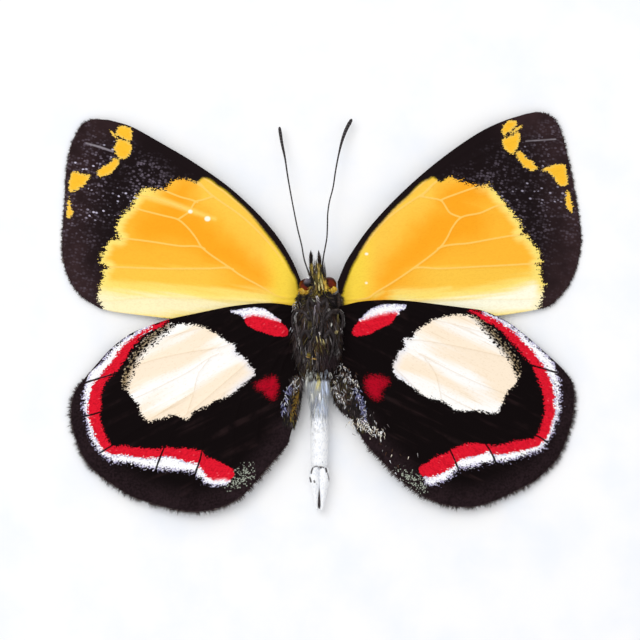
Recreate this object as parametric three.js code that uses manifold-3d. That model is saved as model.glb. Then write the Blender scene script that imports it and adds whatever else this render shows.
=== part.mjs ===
// A spread butterfly specimen of the white and yellow family, lying on its back with the underside up.
// Millimetres. +X is towards the insect's left, +Y towards its head, +Z away from the surface it lies on.
// The origin is on the flat patch of the thorax's back, which rests on that surface.

import * as THREE from 'three';
import { mergeVertices } from 'three/addons/utils/BufferGeometryUtils.js';
import Module from 'manifold-3d';

// Driving dimensions

const WINGSPAN = 54; // across the tips of the forewings
const PLAN_STEPS = 520; // the wingspan in steps of the plan grid that the outlines are drawn on
const STEP = WINGSPAN / PLAN_STEPS;

const WING_THICKNESS = 0.15;
const WING_ROOT_X = 2.9; // the wings hinge this far out from the middle
const WING_ROOT_Z = 1.42; // middle of the membrane at the hinge
const WING_TIP_Z = 0.16; // middle of the membrane at the tips, which touch the surface
const WING_ARCH = 0.28; // rise of the membrane between hinge and tip
const LAP_LIFT = 0.36; // a hindwing lies this far above the forewing that it overlaps
const LAP_REAR_LIFT = 0.06; // what is left of that lift behind the overlap
const LAP_FRONT_Y = 0; // the lift fades between these two lines
const LAP_REAR_Y = -11;

const VEIN_HEIGHT = 0.09; // how far a vein stands out of each side of the membrane
const VEIN_HALF_WIDTH = 0.2;
const VEIN_START_SPREAD = 0.06; // share of its length over which a branch rises from the membrane
const WING_STEPS = 7; // facets along each vein

const THORAX_AXIS_X = -2.5 * STEP;
const THORAX_MIDDLE_Z = 2.0;
const THORAX_SIDES = 20;
const ABDOMEN_SIDES = 12;
const ABDOMEN_SEGMENTS = 7;
const ABDOMEN_GROOVE = 0.9; // radius in the groove between two rings, as a share of the ring's
const CLASPER_AXIS_X = -0.8 * STEP;
const CLASPER_Z = 1.15;
const CLASPER_SIDES = 10;
const LEG_CLEARANCE = 0.09; // the folded legs lie this far above the thorax
const LEG_SIDES = 5;
const FEELER_SIDES = 5;
const EYE_CLEARANCE = 0.06;
const HEAD_Z = 2.0;

// Colours, roughness

const HAIR_GREY = { color: 0x4a4044, roughness: 0.9 };
const ABDOMEN_WHITE = { color: 0xe2e6ea, roughness: 0.85 };
const EYE_BROWN = { color: 0x5d2111, roughness: 0.25 };
const HEAD_OLIVE = { color: 0x6b5c33, roughness: 0.85 };
const PALP_YELLOW = { color: 0xb09a45, roughness: 0.85 };
const ANTENNA_BLACK = { color: 0x1c1617, roughness: 0.6 };
const TONGUE_BROWN = { color: 0x3a2416, roughness: 0.45 };
const LEG_GREY = { color: 0x9a9494, roughness: 0.7 };
const FOREWING_YELLOW = { color: 0xfdb53a, roughness: 0.75 };
const HINDWING_BLACK = { color: 0x17110f, roughness: 0.8 };

const wasm = await Module();
wasm.setup();

// Small helpers

const clamp = THREE.MathUtils.clamp;
const lerp = THREE.MathUtils.lerp;
const smoothstep = THREE.MathUtils.smoothstep;

/** A closed surface from a list of [x, y, z] and a list of triangles, turned so that its faces point out. */
function closedSurface(corners, triangles) {
  let volume = 0;
  for (const [a, b, c] of triangles) {
    const [p, q, r] = [corners[a], corners[b], corners[c]];
    volume += p[0] * (q[1] * r[2] - q[2] * r[1]) + p[1] * (q[2] * r[0] - q[0] * r[2]);
    volume += p[2] * (q[0] * r[1] - q[1] * r[0]);
  }
  const outward = volume > 0 ? triangles : triangles.map(([a, b, c]) => [a, c, b]);
  const geometry = new THREE.BufferGeometry();
  geometry.setAttribute('position', new THREE.Float32BufferAttribute(corners.flat(), 3));
  geometry.setIndex(outward.flat());
  geometry.computeVertexNormals();
  return geometry;
}

/** A closed skin over rings of equally many [x, y, z] points, with a flat fan over each end. */
function skinOver(rings) {
  const sides = rings[0].length;
  const corners = rings.flat();
  const triangles = [];
  for (let ring = 0; ring + 1 < rings.length; ring += 1) {
    for (let side = 0; side < sides; side += 1) {
      const next = (side + 1) % sides;
      const here = ring * sides;
      const there = here + sides;
      triangles.push([here + side, here + next, there + next]);
      triangles.push([here + side, there + next, there + side]);
    }
  }
  for (const [ring, first] of [[rings[0], 0], [rings.at(-1), (rings.length - 1) * sides]]) {
    const middle = [0, 1, 2].map((axis) => ring.reduce((sum, corner) => sum + corner[axis], 0) / sides);
    corners.push(middle);
    for (let side = 0; side < sides; side += 1) {
      const next = (side + 1) % sides;
      const fan = [corners.length - 1, first + side, first + next];
      triangles.push(first === 0 ? [fan[0], fan[2], fan[1]] : fan);
    }
  }
  return closedSurface(corners, triangles);
}

/** A body lofted along Y. A station has its y, the x and z of its middle, its half-width, rise and drop. */
function loftAlongY(stations, sides, floor = -Infinity) {
  const rings = stations.map(({ x, y, z, halfWidth, rise, drop }) => {
    const ring = [];
    for (let side = 0; side < sides; side += 1) {
      const angle = (2 * Math.PI * side) / sides - Math.PI / 2;
      const height = Math.sin(angle) * (Math.sin(angle) > 0 ? rise : drop);
      ring.push([x + Math.cos(angle) * halfWidth, y, Math.max(z + height, floor)]);
    }
    return ring;
  });
  return skinOver(rings);
}

/** A smooth curve through [x, y, z] points. */
function smoothCurve(points) {
  const corners = points.map((point) => new THREE.Vector3(...point));
  return new THREE.CatmullRomCurve3(corners, false, 'centripetal');
}

/** A round stalk along a smooth path, with its radius given by a function of the share of its length. */
function stalk(points, radiusAt, sides, steps) {
  const path = smoothCurve(points);
  const frames = path.computeFrenetFrames(steps);
  const rings = [];
  for (let step = 0; step <= steps; step += 1) {
    const middle = path.getPointAt(step / steps);
    const radius = radiusAt(step / steps);
    const ring = [];
    for (let side = 0; side < sides; side += 1) {
      const angle = (2 * Math.PI * side) / sides;
      const corner = middle.clone();
      corner.addScaledVector(frames.normals[step], radius * Math.cos(angle));
      corner.addScaledVector(frames.binormals[step], radius * Math.sin(angle));
      ring.push(corner.toArray());
    }
    rings.push(ring);
  }
  return skinOver(rings);
}

/** A closed three.js geometry as a solid that can be cut and joined. */
function solidOf(geometry) {
  const bare = geometry.clone();
  bare.deleteAttribute('normal');
  bare.deleteAttribute('uv');
  const merged = mergeVertices(bare, 1e-5);
  return new wasm.Manifold(new wasm.Mesh({
    numProp: 3,
    vertProperties: new Float32Array(merged.attributes.position.array),
    triVerts: new Uint32Array(merged.index.array),
  }));
}

/** A solid back as a three.js geometry. */
function geometryOf(solid) {
  const mesh = solid.getMesh();
  const geometry = new THREE.BufferGeometry();
  geometry.setAttribute('position', new THREE.Float32BufferAttribute(mesh.vertProperties, 3));
  geometry.setIndex([...mesh.triVerts]);
  geometry.computeVertexNormals();
  return geometry;
}

/** A ball with its own radius along each axis. */
function ellipsoid(middle, radii, around, upward) {
  const ball = new THREE.SphereGeometry(1, around, upward);
  ball.rotateX(Math.PI / 2);
  ball.scale(...radii);
  ball.translate(...middle);
  return ball;
}

/** The value at `at` on a line through [position, value] pairs, in order of falling position. */
function valueAt(pairs, at) {
  for (let index = 1; index < pairs.length; index += 1) {
    const [before, first] = pairs[index - 1];
    const [after, second] = pairs[index];
    if (at >= after) {
      return lerp(first, second, clamp((before - at) / (before - after), 0, 1));
    }
  }
  return pairs.at(-1)[1];
}

// Wings. A wing is drawn in plan, in grid steps from the origin, as the veins that fan out from its hinge.
// The first vein is the front edge, the last the inner edge. `margin` runs round the outer edge between
// their tips. A vein stands out of the membrane from the share of its length given as `from` up to `to`.

const RIGHT_FOREWING = {
  lapped: false,
  margin: [
    [-212, 210.4], [-228, 210.5], [-238, 205.5], [-243, 198], [-248, 188], [-251, 176], [-254.5, 152],
    [-255, 137], [-257, 110], [-258, 90], [-257, 70], [-250.5, 50], [-239.5, 35], [-229, 27], [-220, 21.5],
  ],
  veins: [
    { path: [[-19, 49], [-28, 70], [-47.5, 100], [-87.5, 140], [-130, 170], [-160, 187.5], [-190, 204],
      [-212, 210.4]], from: 0, to: 1 },
    { path: [[-20, 46.5], [-32, 68], [-52, 97], [-92, 135], [-134, 163], [-190, 195], [-241, 201]],
      from: 0, to: 0.5 },
    { path: [[-21, 44], [-46, 81], [-75, 111], [-107, 134], [-119, 144], [-160, 164], [-205, 183],
      [-247, 190]], from: 0, to: 0.95 },
    { path: [[-22, 42], [-47, 77], [-77, 107], [-108, 129.5], [-140, 148], [-190, 168], [-250, 179]],
      from: 0.45, to: 0.95 },
    { path: [[-22.7, 40], [-50, 72], [-85, 103], [-123, 128], [-141, 133.6], [-164, 142.5], [-210, 155],
      [-254, 156]], from: 0.48, to: 0.95 },
    { path: [[-23.3, 38], [-52, 66], [-90, 94], [-129.6, 118.4], [-150, 127], [-170, 133], [-215, 138],
      [-255, 134]], from: 0.5, to: 0.95 },
    { path: [[-23, 35.5], [-40, 36], [-60, 47], [-89, 64.5], [-119, 84.5], [-130, 97], [-142.5, 111.3],
      [-155, 115.5], [-189, 122], [-225, 118], [-257, 109]], from: 0, to: 0.97 },
    { path: [[-23, 33], [-42, 33.2], [-62, 43], [-91, 60.5], [-117, 78.5], [-130, 82.5], [-170, 88.5],
      [-200, 91.5], [-258, 88]], from: 0.45, to: 0.97 },
    { path: [[-23.2, 30.5], [-43, 30.6], [-64, 39.5], [-89, 55], [-120, 61.5], [-170, 62.5], [-213, 63.5],
      [-256, 62]], from: 0.32, to: 0.97 },
    { path: [[-23.6, 27], [-70, 29], [-105, 31], [-140, 32.2], [-180, 32], [-217, 29], [-235, 31]],
      from: 0, to: 0.97 },
    { path: [[-25.6, 21.5], [-50, 20], [-80, 16], [-120, 12.5], [-150, 11.5], [-175, 15], [-205, 18],
      [-220, 21.5]], from: 0, to: 1 },
  ],
};

const LEFT_FOREWING = {
  lapped: false,
  margin: [
    [206, 216.3], [219, 218], [233, 212.5], [239, 204], [243, 193], [248, 173], [252, 155], [254.5, 140],
    [257.5, 123], [261, 98], [261, 88], [258, 68], [251, 49], [240, 34], [230, 25], [220, 21], [212, 19.5],
  ],
  veins: [
    { path: [[17.5, 48], [25.6, 67.4], [33.8, 80.8], [49.2, 102.3], [80, 135.6], [119.5, 170], [160, 198],
      [184, 209.3], [206, 216.3]], from: 0, to: 1 },
    { path: [[18.3, 46], [30, 66], [53, 98], [85, 131], [123, 163], [162, 189], [205, 206], [236, 209]],
      from: 0, to: 0.5 },
    { path: [[19, 44], [42, 80], [65, 109], [90, 128], [104, 137], [113, 146], [150, 170], [195, 190],
      [242, 196]], from: 0, to: 0.95 },
    { path: [[19.6, 42], [43, 76], [67, 105], [92, 124], [113, 137], [145, 157], [195, 176], [245, 185]],
      from: 0.45, to: 0.95 },
    { path: [[20, 40], [46, 71], [75, 99], [100, 117], [121, 130], [135, 135.5], [158, 143], [205, 157],
      [250.5, 162]], from: 0.47, to: 0.95 },
    { path: [[20.4, 38], [50, 66], [85, 94], [127, 120.5], [150, 127], [200, 141], [254, 143]],
      from: 0.5, to: 0.95 },
    { path: [[20, 35.5], [48, 37], [73, 53], [94, 65.5], [122, 87], [133, 102], [141, 112], [161, 119],
      [182, 125], [220, 127], [257.5, 123]], from: 0, to: 0.97 },
    { path: [[19.6, 33], [49, 33.5], [75, 49], [96, 61.5], [120, 79.5], [150, 87], [170, 91.5], [195, 95.5],
      [230, 98], [261, 97]], from: 0.45, to: 0.97 },
    { path: [[19.2, 30], [50, 30.3], [76, 44.5], [94, 56], [120, 60.5], [150, 62], [180, 64], [216, 67],
      [258, 68]], from: 0.35, to: 0.97 },
    { path: [[19.2, 26.5], [60, 27.5], [100, 30], [150, 31], [190, 30.5], [238, 32]], from: 0, to: 0.97 },
    { path: [[20.6, 21.5], [60, 19], [100, 15], [140, 13], [180, 14.5], [212, 19.5]], from: 0, to: 1 },
  ],
};

const RIGHT_HINDWING = {
  lapped: true,
  margin: [
    [-225, -36], [-235, -48], [-243, -58], [-248, -72], [-249, -90], [-243.5, -110], [-237, -126],
    [-225, -141], [-208, -154], [-188, -166], [-168, -173], [-140, -180], [-120, -181], [-100, -177],
    [-80, -167], [-66, -153], [-54, -139], [-42, -125], [-32, -113], [-30, -105],
  ],
  veins: [
    { path: [[-24, 24], [-50, 27], [-90, 23.5], [-120, 17], [-148, 11.5], [-170, 4.5], [-190, -4],
      [-210, -19.5], [-225, -36]], from: 0, to: 1 },
    { path: [[-25.8, 20], [-55, 17], [-95, 8], [-135, -2], [-170, -13], [-205, -32], [-231, -44]],
      from: 0, to: 0.95 },
    { path: [[-27.8, 16], [-55, 4], [-85, -12], [-103, -18], [-124, -21], [-155, -27], [-173, -32],
      [-194, -40], [-223, -49], [-239, -54]], from: 0, to: 0.97 },
    { path: [[-28.9, 12], [-58, -3], [-85, -18], [-109, -27], [-130, -41], [-155, -54], [-180, -66],
      [-226, -84], [-248.8, -88]], from: 0.34, to: 0.97 },
    { path: [[-29.8, 8], [-60, -12], [-95, -38], [-126, -62], [-150, -77], [-173, -92], [-217, -121],
      [-235, -130]], from: 0.5, to: 0.97 },
    { path: [[-30.5, 3], [-58, -20], [-90, -48], [-125, -78], [-142, -92], [-156, -118], [-166, -145],
      [-173, -172]], from: 0, to: 0.97 },
    { path: [[-31, -2], [-56, -26], [-85, -53], [-108, -78], [-116, -100], [-119, -126], [-125, -145],
      [-132, -181]], from: 0.42, to: 0.97 },
    { path: [[-31.2, -7], [-52, -30], [-74, -58], [-84, -85], [-88, -120], [-91, -152], [-97, -176]],
      from: 0.4, to: 0.97 },
    { path: [[-30.8, -12], [-46, -33], [-57, -62], [-62, -95], [-64, -130], [-67, -154]], from: 0, to: 0.97 },
    { path: [[-30, -18], [-38, -36], [-42.5, -62], [-44, -95], [-46, -129.5]], from: 0, to: 0.95 },
    { path: [[-28.4, -25], [-26, -40], [-21, -50], [-21.5, -72], [-24, -85], [-27, -95], [-30, -105]],
      from: 0, to: 1 },
  ],
};

const LEFT_HINDWING = {
  lapped: true,
  margin: [
    [240, -36], [247.5, -45], [252.5, -54], [254.2, -66], [254, -76], [252, -90], [246.6, -108.6],
    [238, -127], [231, -135.5], [215, -150], [195.4, -160.7], [174, -170.5], [152.3, -176.4], [120, -173.2],
    [99.6, -163.4], [80, -149], [64.6, -132.8], [50.3, -118.5], [41.3, -106], [39.5, -99],
  ],
  veins: [
    { path: [[19.4, 23.5], [39.5, 28.3], [61, 30], [80, 29.7], [109.5, 26.7], [130, 23], [160, 20],
      [175, 14.5], [190, 6.7], [210, -9], [230, -26.7], [240, -36]], from: 0, to: 1 },
    { path: [[21.5, 19], [60, 19], [100, 13], [140, 4], [180, -9], [215, -27], [243, -39.5]],
      from: 0, to: 0.95 },
    { path: [[23.2, 15], [50, 4], [84, -9], [103, -10.5], [140, -17], [180, -26], [218, -37], [248, -46]],
      from: 0, to: 0.97 },
    { path: [[24.2, 11], [55, -4], [85, -18], [103, -26], [130, -40], [160, -54], [190, -65], [229, -74],
      [254, -75]], from: 0.34, to: 0.97 },
    { path: [[25, 7], [58, -14], [90, -39], [120, -62], [150, -78], [190, -95], [221, -108],
      [239.5, -123.5]], from: 0.48, to: 0.97 },
    { path: [[25.5, 3], [56, -20], [85, -48], [115, -76], [140, -93], [160, -108], [171, -122],
      [180, -145], [185.5, -165.5]], from: 0, to: 0.97 },
    { path: [[26, -2], [52, -26], [78, -54], [102, -79], [118, -99], [131, -122], [139, -142],
      [146, -176.4]], from: 0.42, to: 0.97 },
    { path: [[26.2, -7], [48, -30], [68, -57], [84, -85], [95, -115], [102, -142], [108, -168]],
      from: 0.4, to: 0.97 },
    { path: [[25.8, -12], [42, -33], [55, -61], [66, -95], [74, -122], [80, -149]], from: 0, to: 0.97 },
    { path: [[25.1, -18], [35, -36], [42, -62], [50, -90], [56, -124]], from: 0, to: 0.95 },
    { path: [[23.5, -25], [21.5, -36], [16, -48], [15, -58], [18, -70], [28, -81], [36, -89], [39.5, -99]],
      from: 0, to: 1 },
  ],
};

/** The height of the middle of the membrane over the point x, y. */
function membraneHeight(x, y, lapped) {
  const out = clamp((Math.abs(x) - WING_ROOT_X) / (WINGSPAN / 2 - WING_ROOT_X), 0, 1);
  const plain = lerp(WING_ROOT_Z, WING_TIP_Z, out) + WING_ARCH * Math.sin(Math.PI * out);
  if (!lapped) {
    return plain;
  }
  const behind = 1 - smoothstep(y, LAP_REAR_Y, LAP_FRONT_Y);
  return plain + lerp(LAP_LIFT, LAP_REAR_LIFT, behind);
}

/** A smooth flat curve through plan points, in millimetres. */
function planCurve(points) {
  return smoothCurve(points.map(([x, y]) => [x * STEP, y * STEP, 0]));
}

/** The share of a curve's length at which it comes nearest to a point. */
function nearestShare(curve, point) {
  const samples = 400;
  let best = 0;
  for (let sample = 1; sample <= samples; sample += 1) {
    const nearer = curve.getPointAt(sample / samples).distanceTo(point);
    if (nearer < curve.getPointAt(best).distanceTo(point)) {
      best = sample / samples;
    }
  }
  return best;
}

/** A wing: a thin membrane between its veins, with the veins raised on both sides. */
function wingGeometry({ lapped, margin, veins }) {
  const rim = planCurve(margin);
  const curves = veins.map(({ path }) => planCurve(path));
  const rimShares = curves.map((curve) => nearestShare(rim, curve.getPointAt(1)));
  rimShares[0] = 0;
  rimShares[veins.length - 1] = 1;

  // Lines run from hinge to rim: each vein, the foot of the ridge on either side of it, and one midway.
  const lines = [];
  for (let first = 0; first + 1 < veins.length; first += 1) {
    lines.push({ first, raised: first, acrossFor: () => 0 });
    lines.push({ first, raised: null, acrossFor: (foot) => foot });
    lines.push({ first, raised: null, acrossFor: () => 0.5 });
    lines.push({ first, raised: null, acrossFor: (foot) => 1 - foot });
  }
  lines.push({ first: veins.length - 2, raised: veins.length - 1, acrossFor: () => 1 });

  const top = [];
  const bottom = [];
  for (const { first, raised, acrossFor } of lines) {
    for (let step = 0; step <= WING_STEPS; step += 1) {
      const along = step / WING_STEPS;
      const near = curves[first].getPointAt(along);
      const far = curves[first + 1].getPointAt(along);
      const across = acrossFor(Math.min(VEIN_HALF_WIDTH / near.distanceTo(far), 1 / 3));
      const onRim = rim.getPointAt(lerp(rimShares[first], rimShares[first + 1], across));
      const end = curves[first].getPointAt(1).lerp(curves[first + 1].getPointAt(1), across);
      const point = near.lerp(far, across).addScaledVector(onRim.sub(end), along ** 3);
      const middle = membraneHeight(point.x, point.y, lapped);
      let half = WING_THICKNESS / 2;
      if (raised !== null) {
        const { from, to } = veins[raised];
        const risen = from === 0 ? 1 : smoothstep(along, from - VEIN_START_SPREAD, from + VEIN_START_SPREAD);
        const lasting = to === 1 ? 1 : 1 - smoothstep(along, to - VEIN_START_SPREAD, to + VEIN_START_SPREAD);
        half += VEIN_HEIGHT * risen * lasting * lerp(1, 0.45, along);
      }
      top.push([point.x, point.y, middle + half]);
      bottom.push([point.x, point.y, middle - half]);
    }
  }

  const row = WING_STEPS + 1;
  const under = top.length;
  const triangles = [];
  for (let line = 0; line + 1 < lines.length; line += 1) {
    for (let step = 0; step < WING_STEPS; step += 1) {
      const a = line * row + step;
      const [b, c, d] = [a + 1, a + row + 1, a + row];
      triangles.push([a, b, c], [a, c, d]);
      triangles.push([under + a, under + c, under + b], [under + a, under + d, under + c]);
    }
  }
  const edge = [];
  for (let step = 0; step < WING_STEPS; step += 1) {
    edge.push(step);
  }
  for (let line = 0; line + 1 < lines.length; line += 1) {
    edge.push(line * row + WING_STEPS);
  }
  for (let step = WING_STEPS; step > 0; step -= 1) {
    edge.push((lines.length - 1) * row + step);
  }
  for (let line = lines.length - 1; line > 0; line -= 1) {
    edge.push(line * row);
  }
  edge.forEach((corner, index) => {
    const next = edge[(index + 1) % edge.length];
    triangles.push([corner, under + next, next], [corner, under + corner, under + next]);
  });
  return closedSurface([...top, ...bottom], triangles);
}

// Thorax: stations from the neck to the waist as [y in grid steps, half-width in steps, rise, drop].

const THORAX_STATIONS = [
  [34, 10, 0.9, 0.9], [30, 15.5, 1.3, 1.4], [24, 19, 1.65, 1.85], [15, 23.5, 2.0, 2.15], [5, 26, 2.2, 2.25],
  [-6, 27, 2.3, 2.25], [-17, 26, 2.2, 2.2], [-27, 23.5, 1.95, 2.14], [-35, 19, 1.6, 1.8], [-41, 14, 1.2, 1.3],
  [-44, 9, 0.8, 0.8],
];

function thoraxGeometry() {
  const stations = THORAX_STATIONS.map(([y, halfWidth, rise, drop]) => ({
    x: THORAX_AXIS_X, y: y * STEP, z: THORAX_MIDDLE_Z, halfWidth: halfWidth * STEP, rise, drop,
  }));
  return loftAlongY(stations, THORAX_SIDES, 0);
}

/** The height of the thorax's underside at a place in grid steps from its axis. */
function thoraxTop(aside, y) {
  const halfWidth = valueAt(THORAX_STATIONS.map((station) => [station[0], station[1]]), y);
  const rise = valueAt(THORAX_STATIONS.map((station) => [station[0], station[2]]), y);
  const across = Math.min(Math.abs(aside) / halfWidth, 0.92);
  return THORAX_MIDDLE_Z + rise * Math.sqrt(1 - across * across);
}

// Abdomen: its axis and radius, as [y in steps, x or radius in steps, or z in millimetres].

const ABDOMEN_FRONT = -46.5;
const ABDOMEN_REAR = -135;
const ABDOMEN_AXIS_X = [[-46, -4], [-66, -3], [-90, -0.6], [-135, -0.6]];
const ABDOMEN_AXIS_Z = [[-46, 1.75], [-90, 1.4], [-135, 1.25]];
const ABDOMEN_RADIUS = [
  [-46, 9.5], [-52, 12], [-62, 11.6], [-75, 9.8], [-86, 8.4], [-98, 8.8], [-112, 9], [-135, 8.2],
];
const ABDOMEN_DEPTH = 1.12; // depth over width
const RING_PROFILE = [[0, ABDOMEN_GROOVE], [0.14, 1], [0.86, 1]]; // [share of its length, of its radius]

function abdomenGeometry() {
  const length = (ABDOMEN_REAR - ABDOMEN_FRONT) / ABDOMEN_SEGMENTS;
  const places = [];
  for (let ring = 0; ring < ABDOMEN_SEGMENTS; ring += 1) {
    for (const [share, swell] of RING_PROFILE) {
      places.push([ABDOMEN_FRONT + (ring + share) * length, swell]);
    }
  }
  places.push([ABDOMEN_REAR, ABDOMEN_GROOVE]);
  const stations = places.map(([y, swell]) => {
    const radius = valueAt(ABDOMEN_RADIUS, y) * swell * STEP;
    return {
      x: valueAt(ABDOMEN_AXIS_X, y) * STEP,
      y: y * STEP,
      z: valueAt(ABDOMEN_AXIS_Z, y),
      halfWidth: radius,
      rise: radius * ABDOMEN_DEPTH,
      drop: radius * ABDOMEN_DEPTH,
    };
  });
  return loftAlongY(stations, ABDOMEN_SIDES);
}

// A clasper: stations as [y, distance of its middle from the slit, half-width], in grid steps.

const CLASPER_STATIONS = [
  [-137, 4.6, 3.4], [-142, 5.2, 4.4], [-150, 5.2, 4.6], [-158, 4.6, 3.9], [-167, 3.5, 2.9], [-175, 2.5, 1.9],
  [-180, 1.7, 1],
];
const CLASPER_DEPTH = 1.7; // depth over width

function clasperGeometry(side) {
  const stations = CLASPER_STATIONS.map(([y, aside, halfWidth]) => ({
    x: CLASPER_AXIS_X + side * aside * STEP,
    y: y * STEP,
    z: CLASPER_Z,
    halfWidth: halfWidth * STEP,
    rise: halfWidth * STEP * CLASPER_DEPTH,
    drop: halfWidth * STEP * CLASPER_DEPTH,
  }));
  return loftAlongY(stations, CLASPER_SIDES);
}

// Head and eyes

const HEAD_MIDDLE = [-2 * STEP, 44.5 * STEP, HEAD_Z];
const HEAD_RADII = [12.5 * STEP, 8.5 * STEP, 1.15];
const EYE_RADII = [7.5 * STEP, 7.5 * STEP, 0.92];
const LEFT_EYE_MIDDLE = [9 * STEP, 45.5 * STEP, HEAD_Z];
const RIGHT_EYE_MIDDLE = [-13.5 * STEP, 44 * STEP, HEAD_Z];

function eyeGeometry(middle, clearance = 0) {
  return ellipsoid(middle, EYE_RADII.map((radius) => radius + clearance), 12, 8);
}

/** The head capsule with a hollow for each eye. */
function headGeometry() {
  const capsule = solidOf(ellipsoid(HEAD_MIDDLE, HEAD_RADII, 16, 10));
  const leftSocket = solidOf(eyeGeometry(LEFT_EYE_MIDDLE, EYE_CLEARANCE));
  const rightSocket = solidOf(eyeGeometry(RIGHT_EYE_MIDDLE, EYE_CLEARANCE));
  return geometryOf(capsule.subtract(leftSocket).subtract(rightSocket));
}

// Palps, tongue and antennae: paths in plan steps, with the height in millimetres.

const RIGHT_PALP_PATH = [[-7.5, 47, 3.38], [-8.2, 56, 3.2], [-8.9, 68, 2.95], [-9.3, 79, 2.8]];
const LEFT_PALP_PATH = [[-1.2, 47, 3.4], [-0.8, 56, 3.2], [-1, 68, 2.95], [-1.5, 79, 2.8]];
const PALP_RADIUS = [[1, 0.06], [0.8, 0.17], [0.35, 0.24], [0, 0.2]];
const PALP_SIDES = 8;
const PALP_STEPS = 7;

const TONGUE_MIDDLE = [-4.8 * STEP, 57.5 * STEP, 3.15];
const TONGUE_TURNS = 2;
const TONGUE_INNER_RADIUS = 0.12;
const TONGUE_OUTER_RADIUS = 0.44;
const TONGUE_THICKNESS = 0.1;
const TONGUE_STEPS = 16;

const RIGHT_ANTENNA_PATH = [
  [-10, 54, 2.5], [-15.6, 70, 2.5], [-18.2, 84, 2.4], [-22.2, 100.4, 2.25], [-25.8, 118, 2.1],
  [-29.4, 137, 1.9], [-32.4, 154.5, 1.7], [-35, 172, 1.45], [-38.1, 187, 1.25], [-40.6, 203, 1.0],
];
const LEFT_ANTENNA_PATH = [
  [1.5, 55, 2.5], [3.6, 74, 2.5], [5.1, 82, 2.4], [6.8, 92, 2.3], [7.4, 104, 2.2], [7.7, 116, 2.1],
  [9.4, 128, 2.0], [13, 142.2, 1.85], [15.5, 158.6, 1.65], [18.6, 175, 1.45], [22.1, 189.2, 1.25],
  [26, 200, 1.12], [31.8, 211, 0.95],
];
const ANTENNA_RADIUS = [[1, 0.1], [0.98, 0.19], [0.87, 0.2], [0.74, 0.1], [0.06, 0.08], [0, 0.12]];
const ANTENNA_STEPS = 20;

/** Plan steps and a height in millimetres as a point in millimetres. */
const inPlace = ([x, y, z]) => [x * STEP, y * STEP, z];

function palpGeometry(path) {
  return stalk(path.map(inPlace), (share) => valueAt(PALP_RADIUS, share), PALP_SIDES, PALP_STEPS);
}

function antennaGeometry(path) {
  return stalk(path.map(inPlace), (share) => valueAt(ANTENNA_RADIUS, share), FEELER_SIDES, ANTENNA_STEPS);
}

/** The tongue, coiled like a watch spring between the palps. */
function proboscisGeometry() {
  const points = [];
  for (let step = 0; step <= TONGUE_STEPS; step += 1) {
    const share = step / TONGUE_STEPS;
    const angle = 2 * Math.PI * TONGUE_TURNS * share;
    const radius = lerp(TONGUE_OUTER_RADIUS, TONGUE_INNER_RADIUS, share);
    const [x, y, z] = TONGUE_MIDDLE;
    points.push([x, y - radius * Math.cos(angle), z - radius * Math.sin(angle)]);
  }
  return stalk(points, () => TONGUE_THICKNESS / 2, FEELER_SIDES, TONGUE_STEPS);
}

// Legs, which lie on the thorax, from hip over knee to foot: [distance from its axis, y], in grid steps.

const LEG_PATHS = {
  foreleg: [[3.5, 25], [8, 30], [9.5, 24], [6.5, 14], [4, 2], [3.2, -8]],
  midleg: [[8, 10], [14, 18], [22, 19], [25, 12], [24, 2], [21, -8], [18, -24]],
  hindleg: [[7, -8], [12, -1], [16, -6], [15, -18], [12, -30], [8.5, -40]],
};
const LEG_RADIUS = [[1, 0.07], [0.66, 0.09], [0.6, 0.13], [0.36, 0.14], [0.28, 0.2], [0, 0.2]];
const LEG_STEPS = 10;

function legGeometry(kind, side) {
  const path = LEG_PATHS[kind].map(([aside, y], index, all) => {
    const radius = valueAt(LEG_RADIUS, index / (all.length - 1));
    const height = thoraxTop(aside, y) + LEG_CLEARANCE + radius;
    return [THORAX_AXIS_X + side * aside * STEP, y * STEP, height];
  });
  return stalk(path, (share) => valueAt(LEG_RADIUS, share), LEG_SIDES, LEG_STEPS);
}

// Assembly

const specimen = new THREE.Group();

/** Adds one named piece in its own finish. */
function addPiece(name, geometry, finish) {
  const piece = new THREE.Mesh(geometry, new THREE.MeshStandardMaterial({ metalness: 0, ...finish }));
  piece.name = name;
  specimen.add(piece);
}

addPiece('thorax', thoraxGeometry(), HAIR_GREY);
addPiece('abdomen', abdomenGeometry(), ABDOMEN_WHITE);
addPiece('head', headGeometry(), HEAD_OLIVE);
addPiece('left_eye', eyeGeometry(LEFT_EYE_MIDDLE), EYE_BROWN);
addPiece('right_eye', eyeGeometry(RIGHT_EYE_MIDDLE), EYE_BROWN);
addPiece('left_palp', palpGeometry(LEFT_PALP_PATH), PALP_YELLOW);
addPiece('right_palp', palpGeometry(RIGHT_PALP_PATH), PALP_YELLOW);
addPiece('proboscis', proboscisGeometry(), TONGUE_BROWN);
addPiece('left_antenna', antennaGeometry(LEFT_ANTENNA_PATH), ANTENNA_BLACK);
addPiece('right_antenna', antennaGeometry(RIGHT_ANTENNA_PATH), ANTENNA_BLACK);
addPiece('left_forewing', wingGeometry(LEFT_FOREWING), FOREWING_YELLOW);
addPiece('right_forewing', wingGeometry(RIGHT_FOREWING), FOREWING_YELLOW);
addPiece('left_hindwing', wingGeometry(LEFT_HINDWING), HINDWING_BLACK);
addPiece('right_hindwing', wingGeometry(RIGHT_HINDWING), HINDWING_BLACK);
for (const [name, side] of [['left', 1], ['right', -1]]) {
  addPiece(`${name}_clasper`, clasperGeometry(side), ABDOMEN_WHITE);
  for (const kind of Object.keys(LEG_PATHS)) {
    addPiece(`${name}_${kind}`, legGeometry(kind, side), LEG_GREY);
  }
}

export default specimen;
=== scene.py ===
"""The looks of a spread butterfly specimen that lies on its back, underside up.

Metres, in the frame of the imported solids: +X is towards the insect's left, +Y towards its head and +Z up,
away from the surface it lies on. Plan outlines are drawn in steps of the solids' own plan grid.
"""

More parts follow.
